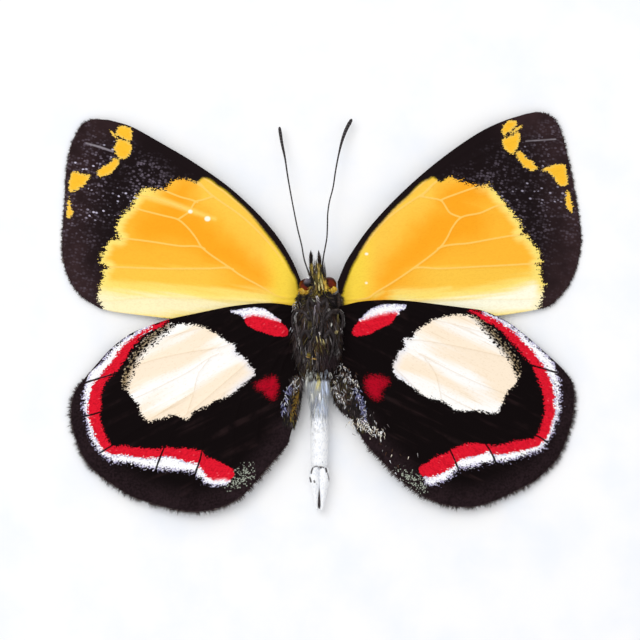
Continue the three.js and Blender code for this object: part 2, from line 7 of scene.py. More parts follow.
import logging
import math
from dataclasses import dataclass, field
from enum import Enum
from typing import Callable, Optional, Sequence, Union

import bpy
import numpy as np
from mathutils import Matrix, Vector
from mathutils.geometry import delaunay_2d_cdt


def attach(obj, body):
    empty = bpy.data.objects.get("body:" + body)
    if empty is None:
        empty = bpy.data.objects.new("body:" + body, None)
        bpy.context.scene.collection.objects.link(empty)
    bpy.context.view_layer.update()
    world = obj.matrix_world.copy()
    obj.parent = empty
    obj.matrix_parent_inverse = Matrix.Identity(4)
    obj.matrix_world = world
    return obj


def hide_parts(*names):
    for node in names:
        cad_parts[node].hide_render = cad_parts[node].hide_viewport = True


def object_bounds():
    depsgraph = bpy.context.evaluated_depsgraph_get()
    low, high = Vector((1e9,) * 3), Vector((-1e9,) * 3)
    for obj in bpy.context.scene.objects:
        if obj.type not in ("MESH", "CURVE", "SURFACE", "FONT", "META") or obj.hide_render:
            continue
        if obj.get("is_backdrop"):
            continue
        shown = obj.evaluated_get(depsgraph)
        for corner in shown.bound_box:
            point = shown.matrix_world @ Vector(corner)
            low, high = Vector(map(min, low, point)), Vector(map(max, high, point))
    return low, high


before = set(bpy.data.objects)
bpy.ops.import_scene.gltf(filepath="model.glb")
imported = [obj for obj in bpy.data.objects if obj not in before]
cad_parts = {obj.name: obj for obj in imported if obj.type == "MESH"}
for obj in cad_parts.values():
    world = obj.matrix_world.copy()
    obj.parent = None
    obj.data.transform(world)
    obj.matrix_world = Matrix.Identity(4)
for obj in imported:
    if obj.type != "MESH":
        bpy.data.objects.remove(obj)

CAD_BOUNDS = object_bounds()
LOG = logging.getLogger("butterfly")
HAIR_COLOUR = "hair_colour"  # the attribute that holds the colour of each hair

MM = 0.001
WINGSPAN = 54 * MM
PLAN_STEPS = 520
STEP = WINGSPAN / PLAN_STEPS

Point2 = tuple[float, float]
Point3 = tuple[float, float, float]
Colour = tuple[float, float, float]
Palette = Sequence[tuple[Colour, float]]  # colours with their shares
Array = np.ndarray
Material = bpy.types.Material
UPWARD = (0.0, 0.0, 1.0)


# Curves, outlines and distances in plan


def smooth_path(points: Sequence[Sequence[float]], spacing: float, closed: bool = False) -> Array:
    """A centripetal Catmull-Rom curve through points, sampled evenly.

    Args:
        points: The points that it passes through, of two or three coordinates.
        spacing: The distance between samples.
        closed: Whether the curve joins up with its start.

    Returns:
        The samples, one row each.
    """
    knots = np.array(points, float)
    if closed:
        knots = np.vstack([knots[-1], knots, knots[0], knots[1]])
    else:
        knots = np.vstack([2 * knots[0] - knots[1], knots, 2 * knots[-1] - knots[-2]])
    dense = []
    for a, b, c, d in zip(knots, knots[1:], knots[2:], knots[3:]):
        gaps = [max(float(np.linalg.norm(q - p)) ** 0.5, 1e-9) for p, q in ((a, b), (b, c), (c, d))]
        t0, t1, t2, t3 = np.cumsum([0.0, *gaps])
        count = max(4, math.ceil(float(np.linalg.norm(c - b)) / spacing * 2))
        t = np.linspace(t1, t2, count, endpoint=False)[:, None]
        ab = (t1 - t) / (t1 - t0) * a + (t - t0) / (t1 - t0) * b
        bc = (t2 - t) / (t2 - t1) * b + (t - t1) / (t2 - t1) * c
        cd = (t3 - t) / (t3 - t2) * c + (t - t2) / (t3 - t2) * d
        abc = (t2 - t) / (t2 - t0) * ab + (t - t0) / (t2 - t0) * bc
        bcd = (t3 - t) / (t3 - t1) * bc + (t - t1) / (t3 - t1) * cd
        dense.append((t2 - t) / (t2 - t1) * abc + (t - t1) / (t2 - t1) * bcd)
    line = np.vstack([*dense, knots[-2]])
    return resample(line, spacing)


def lengths_along(line: Array) -> Array:
    """The length of a line up to each of its points."""
    return np.concatenate([[0.0], np.cumsum(np.linalg.norm(np.diff(line, axis=0), axis=1))])


def resample(line: Array, spacing: float) -> Array:
    """The line again with points evenly spaced along it, its two ends kept."""
    lengths = lengths_along(line)
    count = max(2, round(lengths[-1] / spacing) + 1)
    at = np.linspace(0, lengths[-1], count)
    return np.stack([np.interp(at, lengths, line[:, axis]) for axis in range(line.shape[1])], axis=1)


def line_distance(places: Array, line: Array) -> tuple[Array, Array]:
    """How far places lie from a line of straight pieces.

    Args:
        places: Plan positions, one row each.
        line: The line's points, one row each.

    Returns:
        The distance of each place, and the share of the line's length at its nearest point.
    """
    best = np.full(len(places), np.inf)
    share = np.zeros(len(places))
    lengths = lengths_along(line)
    for index, (start, end) in enumerate(zip(line, line[1:])):
        along = end - start
        size = max(float(along @ along), 1e-18)
        t = np.clip((places - start) @ along / size, 0, 1)
        gap = np.linalg.norm(places - start - t[:, None] * along, axis=1)
        nearer = gap < best
        best[nearer] = gap[nearer]
        share[nearer] = (lengths[index] + t[nearer] * (lengths[index + 1] - lengths[index])) / lengths[-1]
    return best, share


def inside(places: Array, ring: Array) -> Array:
    """Whether each place lies inside a closed ring of points."""
    hits = np.zeros(len(places), bool)
    for (x0, y0), (x1, y1) in zip(ring, np.roll(ring, -1, axis=0)):
        if y0 == y1:
            continue
        spans = (places[:, 1] >= min(y0, y1)) & (places[:, 1] < max(y0, y1))
        cut = x0 + (places[:, 1] - y0) * (x1 - x0) / (y1 - y0)
        hits ^= spans & (places[:, 0] < cut)
    return hits


def depth_in(places: Array, ring: Array) -> Array:
    """The distance from each place to a ring's edge, positive inside it."""
    away, _ = line_distance(places, np.vstack([ring, ring[:1]]))
    return np.where(inside(places, ring), away, -away)


def smoothstep(value: Array, low: float, high: float) -> Array:
    """A soft step from 0 at low to 1 at high; low may be the greater one."""
    t = np.clip((value - low) / (high - low), 0, 1)
    return t * t * (3 - 2 * t)


def unit(vectors: Array) -> Array:
    """The vectors, one row each, at length 1."""
    return vectors / np.maximum(np.linalg.norm(vectors, axis=1, keepdims=True), 1e-9)


def stack(*columns: Union[float, Array]) -> Array:
    """Rows made of columns, of which some may be single numbers."""
    return np.column_stack(np.broadcast_arrays(*columns))


def directions(tilt: Array, turn: Array) -> Array:
    """The directions at angles up from the plan and round from +X."""
    return stack(np.cos(tilt) * np.cos(turn), np.cos(tilt) * np.sin(turn), np.sin(tilt))


def in_metres(points: Sequence[Point3]) -> Array:
    """Points of x and y in plan steps and z in millimetres, in metres."""
    return np.array(points, float) * (STEP, STEP, MM)


def rgb(red: int, green: int, blue: int) -> Colour:
    """A screen colour of 0 to 255 as the linear colour that a shader takes."""
    shares = [value / 255 for value in (red, green, blue)]
    return tuple(s / 12.92 if s <= 0.04045 else ((s + 0.055) / 1.055) ** 2.4 for s in shares)


def value_at(pairs: Sequence[tuple[float, float]], at: Union[float, Array]) -> Array:
    """The value at a place on a line through (place, value) pairs, given in any order of place."""
    ordered = sorted(pairs)
    return np.interp(at, [place for place, _ in ordered], [value for _, value in ordered])


# Meshes


@dataclass
class MeshParts:
    """Corners, faces and values that are gathered from several shapes and become one mesh."""

    corners: list[Array] = field(default_factory=list)
    faces: list[Array] = field(default_factory=list)
    materials: list[Array] = field(default_factory=list)
    values: dict[str, list[Array]] = field(default_factory=dict)
    count: int = 0

    def add(self, corners: Array, faces: Array, material: int = 0, **values: Array) -> None:
        """Adds one shape.

        Args:
            corners: Its corners, in metres.
            faces: Its triangles, as three corner numbers each.
            material: The number of its material slot.
            values: A value or a colour per corner, under the attribute's name.
        """
        self.corners.append(np.asarray(corners, float))
        self.faces.append(np.asarray(faces, int) + self.count)
        self.materials.append(np.full(len(faces), material))
        for name, each in values.items():
            self.values.setdefault(name, []).append(np.asarray(each, float))
        self.count += len(corners)

    def build(self, name: str, smooth: bool = True) -> bpy.types.Object:
        """Makes the object.

        Args:
            name: The piece's name.
            smooth: Whether its faces are shaded smooth.

        Returns:
            The new object, linked to the scene.
        """
        corners = np.vstack(self.corners)
        faces = np.vstack(self.faces)
        mesh = bpy.data.meshes.new(name)
        mesh.vertices.add(len(corners))
        mesh.vertices.foreach_set("co", corners.astype(np.float32).ravel())
        mesh.loops.add(faces.size)
        mesh.loops.foreach_set("vertex_index", faces.astype(np.int32).ravel())
        mesh.polygons.add(len(faces))
        mesh.polygons.foreach_set("loop_start", np.arange(0, faces.size, 3, dtype=np.int32))
        mesh.polygons.foreach_set("material_index", np.concatenate(self.materials).astype(np.int32))
        mesh.update(calc_edges=True)
        mesh.validate()
        mesh.polygons.foreach_set("use_smooth", np.full(len(mesh.polygons), smooth))
        for title, parts in self.values.items():
            joined = np.concatenate(parts)
            if joined.ndim == 1:
                store = mesh.attributes.new(title, "FLOAT", "POINT")
                store.data.foreach_set("value", joined.astype(np.float32))
            else:
                store = mesh.attributes.new(title, "FLOAT_COLOR", "POINT")
                colour = np.hstack([joined, np.ones((len(joined), 1))])
                store.data.foreach_set("color", colour.astype(np.float32).ravel())
        made = bpy.data.objects.new(name, mesh)
        bpy.context.scene.collection.objects.link(made)
        return made

    def finish(self, name: str, material: Material, slot: str, *nodes: str) -> None:
        """Makes the piece and ties it to the frame.

        Args:
            name: The piece's name.
            material: Its material.
            slot: The record's slot for its finish.
            nodes: The solids that it stands for.
        """
        piece = self.build(name)
        piece.data.materials.append(material)
        finish_piece(piece, slot, *nodes)


def skin(rings: Array, capped: bool = True) -> tuple[Array, Array]:
    """A skin over rings of equally many points.

    Args:
        rings: Positions, as rings by sides by three.
        capped: Whether a fan closes each end.

    Returns:
        Its corners and its triangles.
    """
    count, sides, _ = rings.shape
    ring, side = np.meshgrid(np.arange(count - 1), np.arange(sides), indexing="ij")
    here = ring * sides + side
    beside = ring * sides + (side + 1) % sides
    faces = [np.stack([here, beside, beside + sides], -1).reshape(-1, 3),
             np.stack([here, beside + sides, here + sides], -1).reshape(-1, 3)]
    corners = rings.reshape(-1, 3)
    if capped:
        around = np.arange(sides)
        beyond = (around + 1) % sides
        last = (count - 1) * sides
        corners = np.vstack([corners, rings[0].mean(0), rings[-1].mean(0)])
        middle = np.full(sides, count * sides)
        faces.append(np.stack([middle, beyond, around], -1))
        faces.append(np.stack([middle + 1, last + around, last + beyond], -1))
    return corners, np.vstack(faces)


def tube(path: Array, radii: Array, sides: int, squash: float = 1.0) -> tuple[Array, Array]:
    """A round rod along a path.

    Args:
        path: Its middle line, one row for each ring.
        radii: Its radius at each ring.
        sides: How many sides it has.
        squash: Its thickness across the path's plane as a share of its width.

    Returns:
        Its corners and its triangles.
    """
    ahead = unit(np.gradient(path, axis=0))
    across = np.cross(ahead, UPWARD)
    across[np.linalg.norm(across, axis=1) < 0.05] = (1.0, 0.0, 0.0)
    across = unit(across)
    above = np.cross(across, ahead)
    angles = np.linspace(0, 2 * math.pi, sides, endpoint=False)
    wide = across[:, None] * np.cos(angles)[None, :, None]
    high = above[:, None] * np.sin(angles)[None, :, None] * squash
    return skin(path[:, None] + (wide + high) * radii[:, None, None])


def egg(middle: Sequence[float], radii: Sequence[float], around: int, upward: int) -> tuple[Array, Array]:
    """A finely faceted egg with its own radius along each axis."""
    tilt = np.linspace(-math.pi / 2, math.pi / 2, upward + 1)[1:-1]
    turn = np.linspace(0, 2 * math.pi, around, endpoint=False)
    rings = np.stack([directions(t, turn) for t in tilt])
    return skin(rings * np.array(radii) + np.array(middle))


# Blades: hairs, bristles and fringe scales as flat tapering strips


@dataclass
class Blades:
    """Many flat hairs, gathered and then built as one piece."""

    rng: np.random.Generator
    parts: MeshParts = field(default_factory=MeshParts)

    def add(self, roots: Array, ahead: Array, lengths: Array, widths: Union[float, Array], colours: Array,
            lift: Optional[Array] = None, droop: float = 0.3, joints: int = 2) -> None:
        """Adds hairs.

        Args:
            roots: Where they start, one row each.
            ahead: The direction that each starts in.
            lengths: How long they are.
            widths: How wide they are at the root, each or all.
            colours: The colour of each.
            lift: The direction that a hair's flat side faces, upward if none is given.
            droop: How far the tips fall back, as a share of their length.
            joints: In how many pieces a hair bends.
        """
        count = len(roots)
        ahead = unit(ahead)
        lift = np.tile(UPWARD, (count, 1)) if lift is None else lift
        widths = np.broadcast_to(widths, count)
        across = unit(np.cross(ahead, lift))
        rows = []
        for joint in range(joints):
            share = joint / joints
            middle = roots + ahead * (lengths * share)[:, None] - lift * (lengths * droop * share**2)[:, None]
            half = across * (widths * 0.5 * (1 - 0.45 * share))[:, None]
            rows += [middle - half, middle + half]
        rows.append(roots + ahead * lengths[:, None] - lift * (lengths * droop)[:, None])
        corners = np.stack(rows, axis=1).reshape(-1, 3)
        stride = 2 * joints + 1
        first = np.arange(count)[:, None] * stride
        faces = []
        for joint in range(joints - 1):
            a = first + 2 * joint
            faces += [np.hstack([a, a + 1, a + 3]), np.hstack([a, a + 3, a + 2])]
        a = first + 2 * (joints - 1)
        faces.append(np.hstack([a, a + 1, a + 2]))
        self.parts.add(corners, np.vstack(faces), hair_colour=np.repeat(colours, stride, axis=0))

    def pick(self, palette: Palette, count: int, spread: float = 0.25) -> Array:
        """Draws a colour for each of many hairs.

        Args:
            palette: Colours, each with its share of the hairs.
            count: How many to draw.
            spread: How much lighter or darker a hair may be.

        Returns:
            The colours, one row each.
        """
        shares = np.array([share for _, share in palette])
        drawn = self.rng.choice(len(palette), count, p=shares / shares.sum())
        tones = np.exp(self.rng.normal(0, spread, count))
        return np.clip(np.array([colour for colour, _ in palette])[drawn] * tones[:, None], 0, 1)


# Shaders


Number = Union[float, "Expression"]


def math_node(operation: str, swapped: bool = False) -> Callable[..., "Expression"]:
    """A method of Expression that makes a Math node.

    Args:
        operation: The node's operation.
        swapped: Whether the expression comes after the other value.

    Returns:
        The method.
    """

    def method(self: "Expression", *others: Number) -> "Expression":
        """The node's result for the expression and any other value."""
        values = (*others, self) if swapped else (self, *others)
        made = self.shader.node("ShaderNodeMath", {"operation": operation}, dict(enumerate(values)))
        return Expression(self.shader, made.outputs[0])

    return method


class Expression:
    """A value in a shader, on which + - * / and the like add Math nodes."""

    __add__ = math_node("ADD")
    __radd__ = math_node("ADD", swapped=True)
    __sub__ = math_node("SUBTRACT")
    __rsub__ = math_node("SUBTRACT", swapped=True)
    __mul__ = math_node("MULTIPLY")
    __rmul__ = math_node("MULTIPLY", swapped=True)
    __truediv__ = math_node("DIVIDE")
    sine = math_node("SINE")
    least = math_node("MINIMUM")
    most = math_node("MAXIMUM")

    def __init__(self, shader: "Shader", socket: bpy.types.NodeSocket) -> None:
        """Wraps an output socket of a shader's node."""
        self.shader = shader
        self.socket = socket

    def mix(self, second: "Paint", share: Number) -> "Expression":
        """A colour between this one and a second, by share."""
        return self.shader.mix(self, second, share)

    def step(self, low: float, high: float) -> "Expression":
        """A soft step from 0 at low to 1 at high; with high below low it falls."""
        ends = (low, high, 0.0, 1.0) if low < high else (high, low, 1.0, 0.0)
        made = self.shader.node("ShaderNodeMapRange", {"interpolation_type": "SMOOTHSTEP", "clamp": True},
                                {0: self, 1: ends[0], 2: ends[1], 3: ends[2], 4: ends[3]})
        return Expression(self.shader, made.outputs[0])


Paint = Union[Colour, Expression]


class Shader:
    """A material that is built node by node."""

    def __init__(self, name: str) -> None:
        """Starts a material with one Principled shader."""
        self.material = bpy.data.materials.new(name)
        self.material.use_nodes = True
        self.tree = self.material.node_tree
        self.surface = self.tree.nodes["Principled BSDF"]

    def node(self, kind: str, settings: Optional[dict] = None,
             sockets: Optional[dict] = None) -> bpy.types.Node:
        """Makes a node.

        Args:
            kind: Its Blender type.
            settings: Its settings, which are set first.
            sockets: The value of, or the expression linked to, each input, by number or name.

        Returns:
            The new node.
        """
        made = self.tree.nodes.new(kind)
        for name, value in (settings or {}).items():
            setattr(made, name, value)
        for key, value in (sockets or {}).items():
            self.feed(made.inputs[key], value)
        return made

    def feed(self, entry: bpy.types.NodeSocket, value: Union[Number, Colour]) -> None:
        """Links an expression to an input, or sets its value."""
        if isinstance(value, Expression):
            self.tree.links.new(value.socket, entry)
        elif isinstance(value, tuple) and len(entry.default_value) == 4:
            entry.default_value = (*value, 1.0)
        else:
            entry.default_value = value

    def __getitem__(self, name: str) -> Expression:
        """A value that the mesh holds for each corner, by its name."""
        made = self.node("ShaderNodeAttribute", {"attribute_type": "GEOMETRY", "attribute_name": name})
        return Expression(self, made.outputs["Color" if name == HAIR_COLOUR else "Fac"])

    def place(self, scale: Sequence[float] = (1, 1, 1), turn: float = 0.0) -> Expression:
        """The position in the piece, in millimetres, turned about Z and then scaled along each axis."""
        source = self.node("ShaderNodeTexCoord").outputs["Object"]
        turned = self.node("ShaderNodeMapping", {"vector_type": "POINT"}, {
            "Vector": Expression(self, source), "Rotation": (0.0, 0.0, turn)})
        scaled = self.node("ShaderNodeVectorMath", {"operation": "MULTIPLY"}, {
            0: Expression(self, turned.outputs[0]), 1: tuple(value / MM for value in scale)})
        return Expression(self, scaled.outputs[0])

    def axis(self, vector: Expression, which: int) -> Expression:
        """One coordinate of a vector."""
        return Expression(self, self.node("ShaderNodeSeparateXYZ", None, {0: vector}).outputs[which])

    def aside(self) -> Expression:
        """The distance from the middle line, in millimetres."""
        x = self.axis(self.place(), 0)
        return x.most(0 - x)

    def noise(self, where: Expression, scale: float, detail: float = 2.0, rough: float = 0.5) -> Expression:
        """Soft noise from 0 to 1, with `scale` lumps in a millimetre of `where`."""
        made = self.node("ShaderNodeTexNoise", {"noise_dimensions": "3D"}, {
            "Vector": where, "Scale": scale, "Detail": detail, "Roughness": rough})
        return Expression(self, made.outputs[0])

    def cells(self, where: Expression, scale: float) -> tuple[Expression, Expression]:
        """Cells like laid scales.

        Args:
            where: The position.
            scale: How many cells there are in a unit of it.

        Returns:
            The distance from a cell's middle, and a random number that each cell keeps.
        """
        made = self.node("ShaderNodeTexVoronoi", None, {"Vector": where, "Scale": scale})
        tone = self.node("ShaderNodeSeparateColor", None, {0: Expression(self, made.outputs["Color"])})
        return Expression(self, made.outputs["Distance"]), Expression(self, tone.outputs[0])

    def mix(self, first: Paint, second: Paint, share: Number) -> Expression:
        """A colour between two, by share."""
        made = self.node("ShaderNodeMix", {"data_type": "RGBA", "clamp_factor": True})
        self.feed(made.inputs[0], share)
        self.feed(made.inputs[6], first)
        self.feed(made.inputs[7], second)
        return Expression(self, made.outputs[2])

    def bump(self, height: Expression, distance: float, strength: float = 1.0) -> None:
        """Raises the surface by a height of 0 to 1, to a distance in metres."""
        made = self.node("ShaderNodeBump", None, {
            "Strength": strength, "Distance": distance, "Height": height})
        self.tree.links.new(made.outputs[0], self.surface.inputs["Normal"])

    def finish(self, colour: Paint, roughness: float, gloss: float) -> Material:
        """Feeds the Principled shader with a colour, a roughness and a specular level."""
        for name, value in (("Base Color", colour), ("Roughness", roughness), ("Specular IOR Level", gloss)):
            self.feed(self.surface.inputs[name], value)
        return self.material


# Drawings of the four wings, in plan steps as the solids have them


def path(*numbers: float) -> Array:
    """Points in rows of x and y, from their numbers in a run."""
    return np.reshape(numbers, (-1, 2)).astype(float)


@dataclass(frozen=True)
class Vein:
    """A vein from the hinge to the margin, raised from one share of its length to another."""

    start: float
    end: float
    path: Array


def vein(start: float, end: float, *numbers: float) -> Vein:
    """A vein from where it starts and ends and the x and y of its points."""
    return Vein(start, end, path(*numbers))


@dataclass(frozen=True)
class WingDrawing:
    """A wing as its veins, from front edge to inner edge, and its outer margin."""

    lapped: bool
    margin: Array
    veins: Sequence[Vein]
    cell_end: Array
    cuts: Sequence[int] = ()  # veins that cross the bands along the margin as dark lines


RIGHT_FOREWING = WingDrawing(
    lapped=False,
    margin=path(-212, 210.4, -228, 210.5, -238, 205.5, -243, 198, -248, 188, -251, 176, -254.5, 152, -255,
        137, -257, 110, -258, 90, -257, 70, -250.5, 50, -239.5, 35, -229, 27, -220, 21.5),
    veins=[
        vein(0, 1, -19, 49, -28, 70, -47.5, 100, -87.5, 140, -130, 170, -160, 187.5, -190, 204, -212, 210.4),
        vein(0, 0.5, -20, 46.5, -32, 68, -52, 97, -92, 135, -134, 163, -190, 195, -241, 201),
        vein(0, 0.95, -21, 44, -46, 81, -75, 111, -107, 134, -119, 144, -160, 164, -205, 183, -247, 190),
        vein(0.46, 0.95, -22, 42, -47, 77, -77, 107, -100, 129, -107, 133.5, -115, 141, -121, 147.5, -150,
            157, -190, 168, -250, 179),
        vein(0.505, 0.95, -22.7, 40, -50, 72, -85, 103, -123, 128, -140, 133.2, -152, 138, -164, 143, -210,
            155, -254, 156),
        vein(0.53, 0.95, -23.3, 38, -52, 66, -90, 94, -129.6, 118.4, -150, 127, -170, 133, -215, 138, -255,
            134),
        vein(0, 0.97, -23, 33, -40, 33, -60, 44, -80, 55, -89, 61.5, -118, 82.5, -124, 92, -132, 102, -142,
            110.5, -155, 114, -175, 119, -195, 124, -225, 118, -257, 109),
        vein(0.437, 0.97, -23, 32, -41, 33, -61, 44, -90, 61.5, -118, 82.5, -140, 84, -170, 88.5, -200, 91.5,
            -258, 88),
        vein(0.307, 0.97, -23.2, 30.5, -42, 33, -62, 44.5, -89, 61.5, -110, 61.5, -160, 61.5, -210, 63, -256,
            62),
        vein(0, 0.97, -23.6, 27, -70, 29, -105, 31, -140, 32.2, -180, 32, -217, 29, -235, 31),
        vein(0, 1, -25.6, 21.5, -50, 20, -80, 16, -120, 12.5, -150, 11.5, -175, 15, -205, 18, -220, 21.5)],
    cell_end=path(-107, 133.5, -118, 130, -124, 128.5, -128, 123, -130, 119, -142, 110.5))

LEFT_FOREWING = WingDrawing(
    lapped=False,
    margin=path(206, 216.3, 219, 218, 233, 212.5, 239, 204, 243, 193, 248, 173, 252, 155, 254.5, 140, 257.5,
        123, 261, 98, 261, 88, 258, 68, 251, 49, 240, 34, 230, 25, 220, 21, 212, 19.5),
    veins=[
        vein(0, 1, 17.5, 48, 25.6, 67.4, 33.8, 80.8, 49.2, 102.3, 80, 135.6, 119.5, 170, 160, 198, 184, 209.3,
            206, 216.3),
        vein(0, 0.5, 18.3, 46, 30, 66, 53, 98, 85, 131, 123, 163, 162, 189, 205, 206, 236, 209),
        vein(0, 0.95, 19, 44, 42, 80, 65, 109, 90, 128, 104, 137, 113, 146, 150, 170, 195, 190, 242, 196),
        vein(0.45, 0.95, 19.6, 42, 43, 76, 67, 105, 92, 128, 101, 133.5, 108, 140, 116, 148, 145, 162, 195,
            177, 245, 185),
        vein(0.51, 0.95, 20, 40, 46, 71, 75, 99, 100, 117, 121, 130, 135, 135.5, 158, 143.5, 205, 157, 250.5,
            162),
        vein(0.8, 0.95, 20.4, 38, 50, 66, 85, 94, 127, 120.5, 150, 127, 200, 141, 254, 143),
        vein(0, 0.97, 20, 30, 48, 32, 55, 37, 70, 46, 93, 61.5, 120, 82.5, 127, 92, 132, 102, 141, 112.5, 160,
            117, 180, 125, 220, 127, 257.5, 123),
        vein(0.447, 0.97, 19.6, 29.5, 48, 32, 72, 47.5, 93, 61.5, 120, 82.5, 150, 87, 180, 92.5, 200, 95.5,
            230, 98, 261, 97),
        vein(0.34, 0.97, 19.2, 29, 48, 32, 72, 46.5, 93, 61.5, 120, 61.5, 160, 63.5, 180, 64.5, 216, 66.5,
            258, 68),
        vein(0, 0.97, 19.2, 26.5, 60, 27.5, 100, 30, 150, 31, 190, 30.5, 238, 32),
        vein(0, 1, 20.6, 21.5, 60, 19, 100, 15, 140, 13, 180, 14.5, 212, 19.5)],
    cell_end=path(101, 133.5, 110, 132, 121, 129.5, 124, 126, 127, 121, 130, 117, 141, 112.5))

RIGHT_HINDWING = WingDrawing(
    lapped=True,
    margin=path(-225, -36, -235, -48, -243, -58, -248, -72, -249, -90, -243.5, -110, -237, -126, -225, -141,
        -208, -154, -188, -166, -168, -173, -140, -180, -120, -181, -100, -177, -80, -167, -66, -153, -54,
        -139, -42, -125, -32, -113, -30, -105),
    veins=[
        vein(0, 1, -24, 24, -50, 27, -90, 23.5, -120, 17, -148, 11.5, -170, 4.5, -190, -4, -210, -19.5, -225,
            -36),
        vein(0, 0.95, -25.8, 20, -55, 17, -95, 8, -135, -2, -170, -13, -205, -32, -231, -44),
        vein(0, 0.97, -27.8, 16, -55, 4, -85, -12, -103, -18, -124, -21, -155, -27, -173, -32, -194, -40,
            -223, -49, -239, -54),
        vein(0.34, 0.97, -28.9, 12, -58, -3, -85, -18, -109, -27, -130, -41, -155, -54, -180, -66, -226, -84,
            -248.8, -88),
        vein(0.5, 0.97, -29.8, 8, -60, -12, -95, -38, -126, -62, -150, -77, -173, -92, -217, -121, -235,
            -130),
        vein(0, 0.97, -30.5, 3, -58, -20, -90, -48, -125, -78, -142, -92, -156, -118, -166, -145, -173, -172),
        vein(0.42, 0.97, -31, -2, -56, -26, -85, -53, -108, -78, -116, -100, -119, -126, -125, -145, -132,
            -181),
        vein(0.4, 0.97, -31.2, -7, -52, -30, -74, -58, -84, -85, -88, -120, -91, -152, -97, -176),
        vein(0, 0.97, -30.8, -12, -46, -33, -57, -62, -62, -95, -64, -130, -67, -154),
        vein(0, 0.95, -30, -18, -38, -36, -42.5, -62, -44, -95, -46, -129.5),
        vein(0, 1, -28.4, -25, -26, -40, -21, -50, -21.5, -72, -24, -85, -27, -95, -30, -105)],
    cell_end=path(-109, -27, -122, -45, -126, -62, -133, -84),
    cuts=(2, 3, 4, 5, 6))

LEFT_HINDWING = WingDrawing(
    lapped=True,
    margin=path(240, -36, 247.5, -45, 252.5, -54, 254.2, -66, 254, -76, 252, -90, 246.6, -108.6, 238, -127,
        231, -135.5, 215, -150, 195.4, -160.7, 174, -170.5, 152.3, -176.4, 120, -173.2, 99.6, -163.4, 80,
        -149, 64.6, -132.8, 50.3, -118.5, 41.3, -106, 39.5, -99),
    veins=[
        vein(0, 1, 19.4, 23.5, 39.5, 28.3, 61, 30, 80, 29.7, 109.5, 26.7, 130, 23, 160, 20, 175, 14.5, 190,
            6.7, 210, -9, 230, -26.7, 240, -36),
        vein(0, 0.95, 21.5, 19, 60, 19, 100, 13, 140, 4, 180, -9, 215, -27, 243, -39.5),
        vein(0, 0.97, 23.2, 15, 50, 4, 84, -9, 103, -10.5, 140, -17, 180, -26, 218, -37, 248, -46),
        vein(0.34, 0.97, 24.2, 11, 55, -4, 85, -18, 103, -26, 130, -40, 160, -54, 190, -65, 229, -74, 254,
            -75),
        vein(0.48, 0.97, 25, 7, 58, -14, 90, -39, 120, -62, 150, -78, 190, -95, 221, -108, 239.5, -123.5),
        vein(0, 0.97, 25.5, 3, 56, -20, 85, -48, 115, -76, 140, -93, 160, -108, 171, -122, 180, -145, 185.5,
            -165.5),
        vein(0.42, 0.97, 26, -2, 52, -26, 78, -54, 102, -79, 118, -99, 131, -122, 139, -142, 146, -176.4),
        vein(0.4, 0.97, 26.2, -7, 48, -30, 68, -57, 84, -85, 95, -115, 102, -142, 108, -168),
        vein(0, 0.97, 25.8, -12, 42, -33, 55, -61, 66, -95, 74, -122, 80, -149),
        vein(0, 0.95, 25.1, -18, 35, -36, 42, -62, 50, -90, 56, -124),
        vein(0, 1, 23.5, -25, 21.5, -36, 16, -48, 15, -58, 18, -70, 28, -81, 36, -89, 39.5, -99)],
    cell_end=path(103, -26, 115, -43, 120, -62, 124, -84),
    cuts=(2, 4, 5, 6))


# Marks of the wings. They are drawn on a sheet whose x runs right and whose y runs down, in plan steps.


SHEET_ORIGIN = (320, 330)  # where the specimen's origin lies on the sheet
Marks = dict[str, list[Array]]  # a wing's coloured areas by name, each of rings and of bands


def ring(*numbers: float) -> Array:
    """A closed outline, from the x and y of its points."""
    return path(*numbers)


def band(*numbers: float) -> Array:
    """A band of changing width, from the x, the y and the width of its points."""
    return np.reshape(numbers, (-1, 3)).astype(float)


def mark_depths(marks: Marks, places: Array) -> dict[str, Array]:
    """How deep places lie in each area, in millimetres and positive inside it."""
    return {name: np.max([shape_depth(places, shape) for shape in shapes], axis=0) / MM
            for name, shapes in marks.items()}


def shape_depth(places: Array, shape: Array) -> Array:
    """How deep places lie in a ring or a band, in metres."""
    if shape.shape[1] == 3:
        return band_depth(places, shape)
    return depth_in(places, smooth_path(on_plan(shape), 0.12 * MM, closed=True))


def on_plan(points: Sequence[Sequence[float]]) -> Array:
    """Points of the drawing sheet as plan positions in metres."""
    return (np.array(points, float)[:, :2] - SHEET_ORIGIN) * (STEP, -STEP)


def band_depth(places: Array, stripe: Sequence[Sequence[float]]) -> Array:
    """How deep places lie in a band of changing width, in metres."""
    widths = np.array(stripe, float)[:, 2:] * STEP
    line = smooth_path(np.hstack([on_plan(stripe), widths]), 0.15 * MM)
    away, share = line_distance(places, line[:, :2])
    lengths = lengths_along(line[:, :2])
    return np.interp(share, lengths / lengths[-1], line[:, 2]) / 2 - away


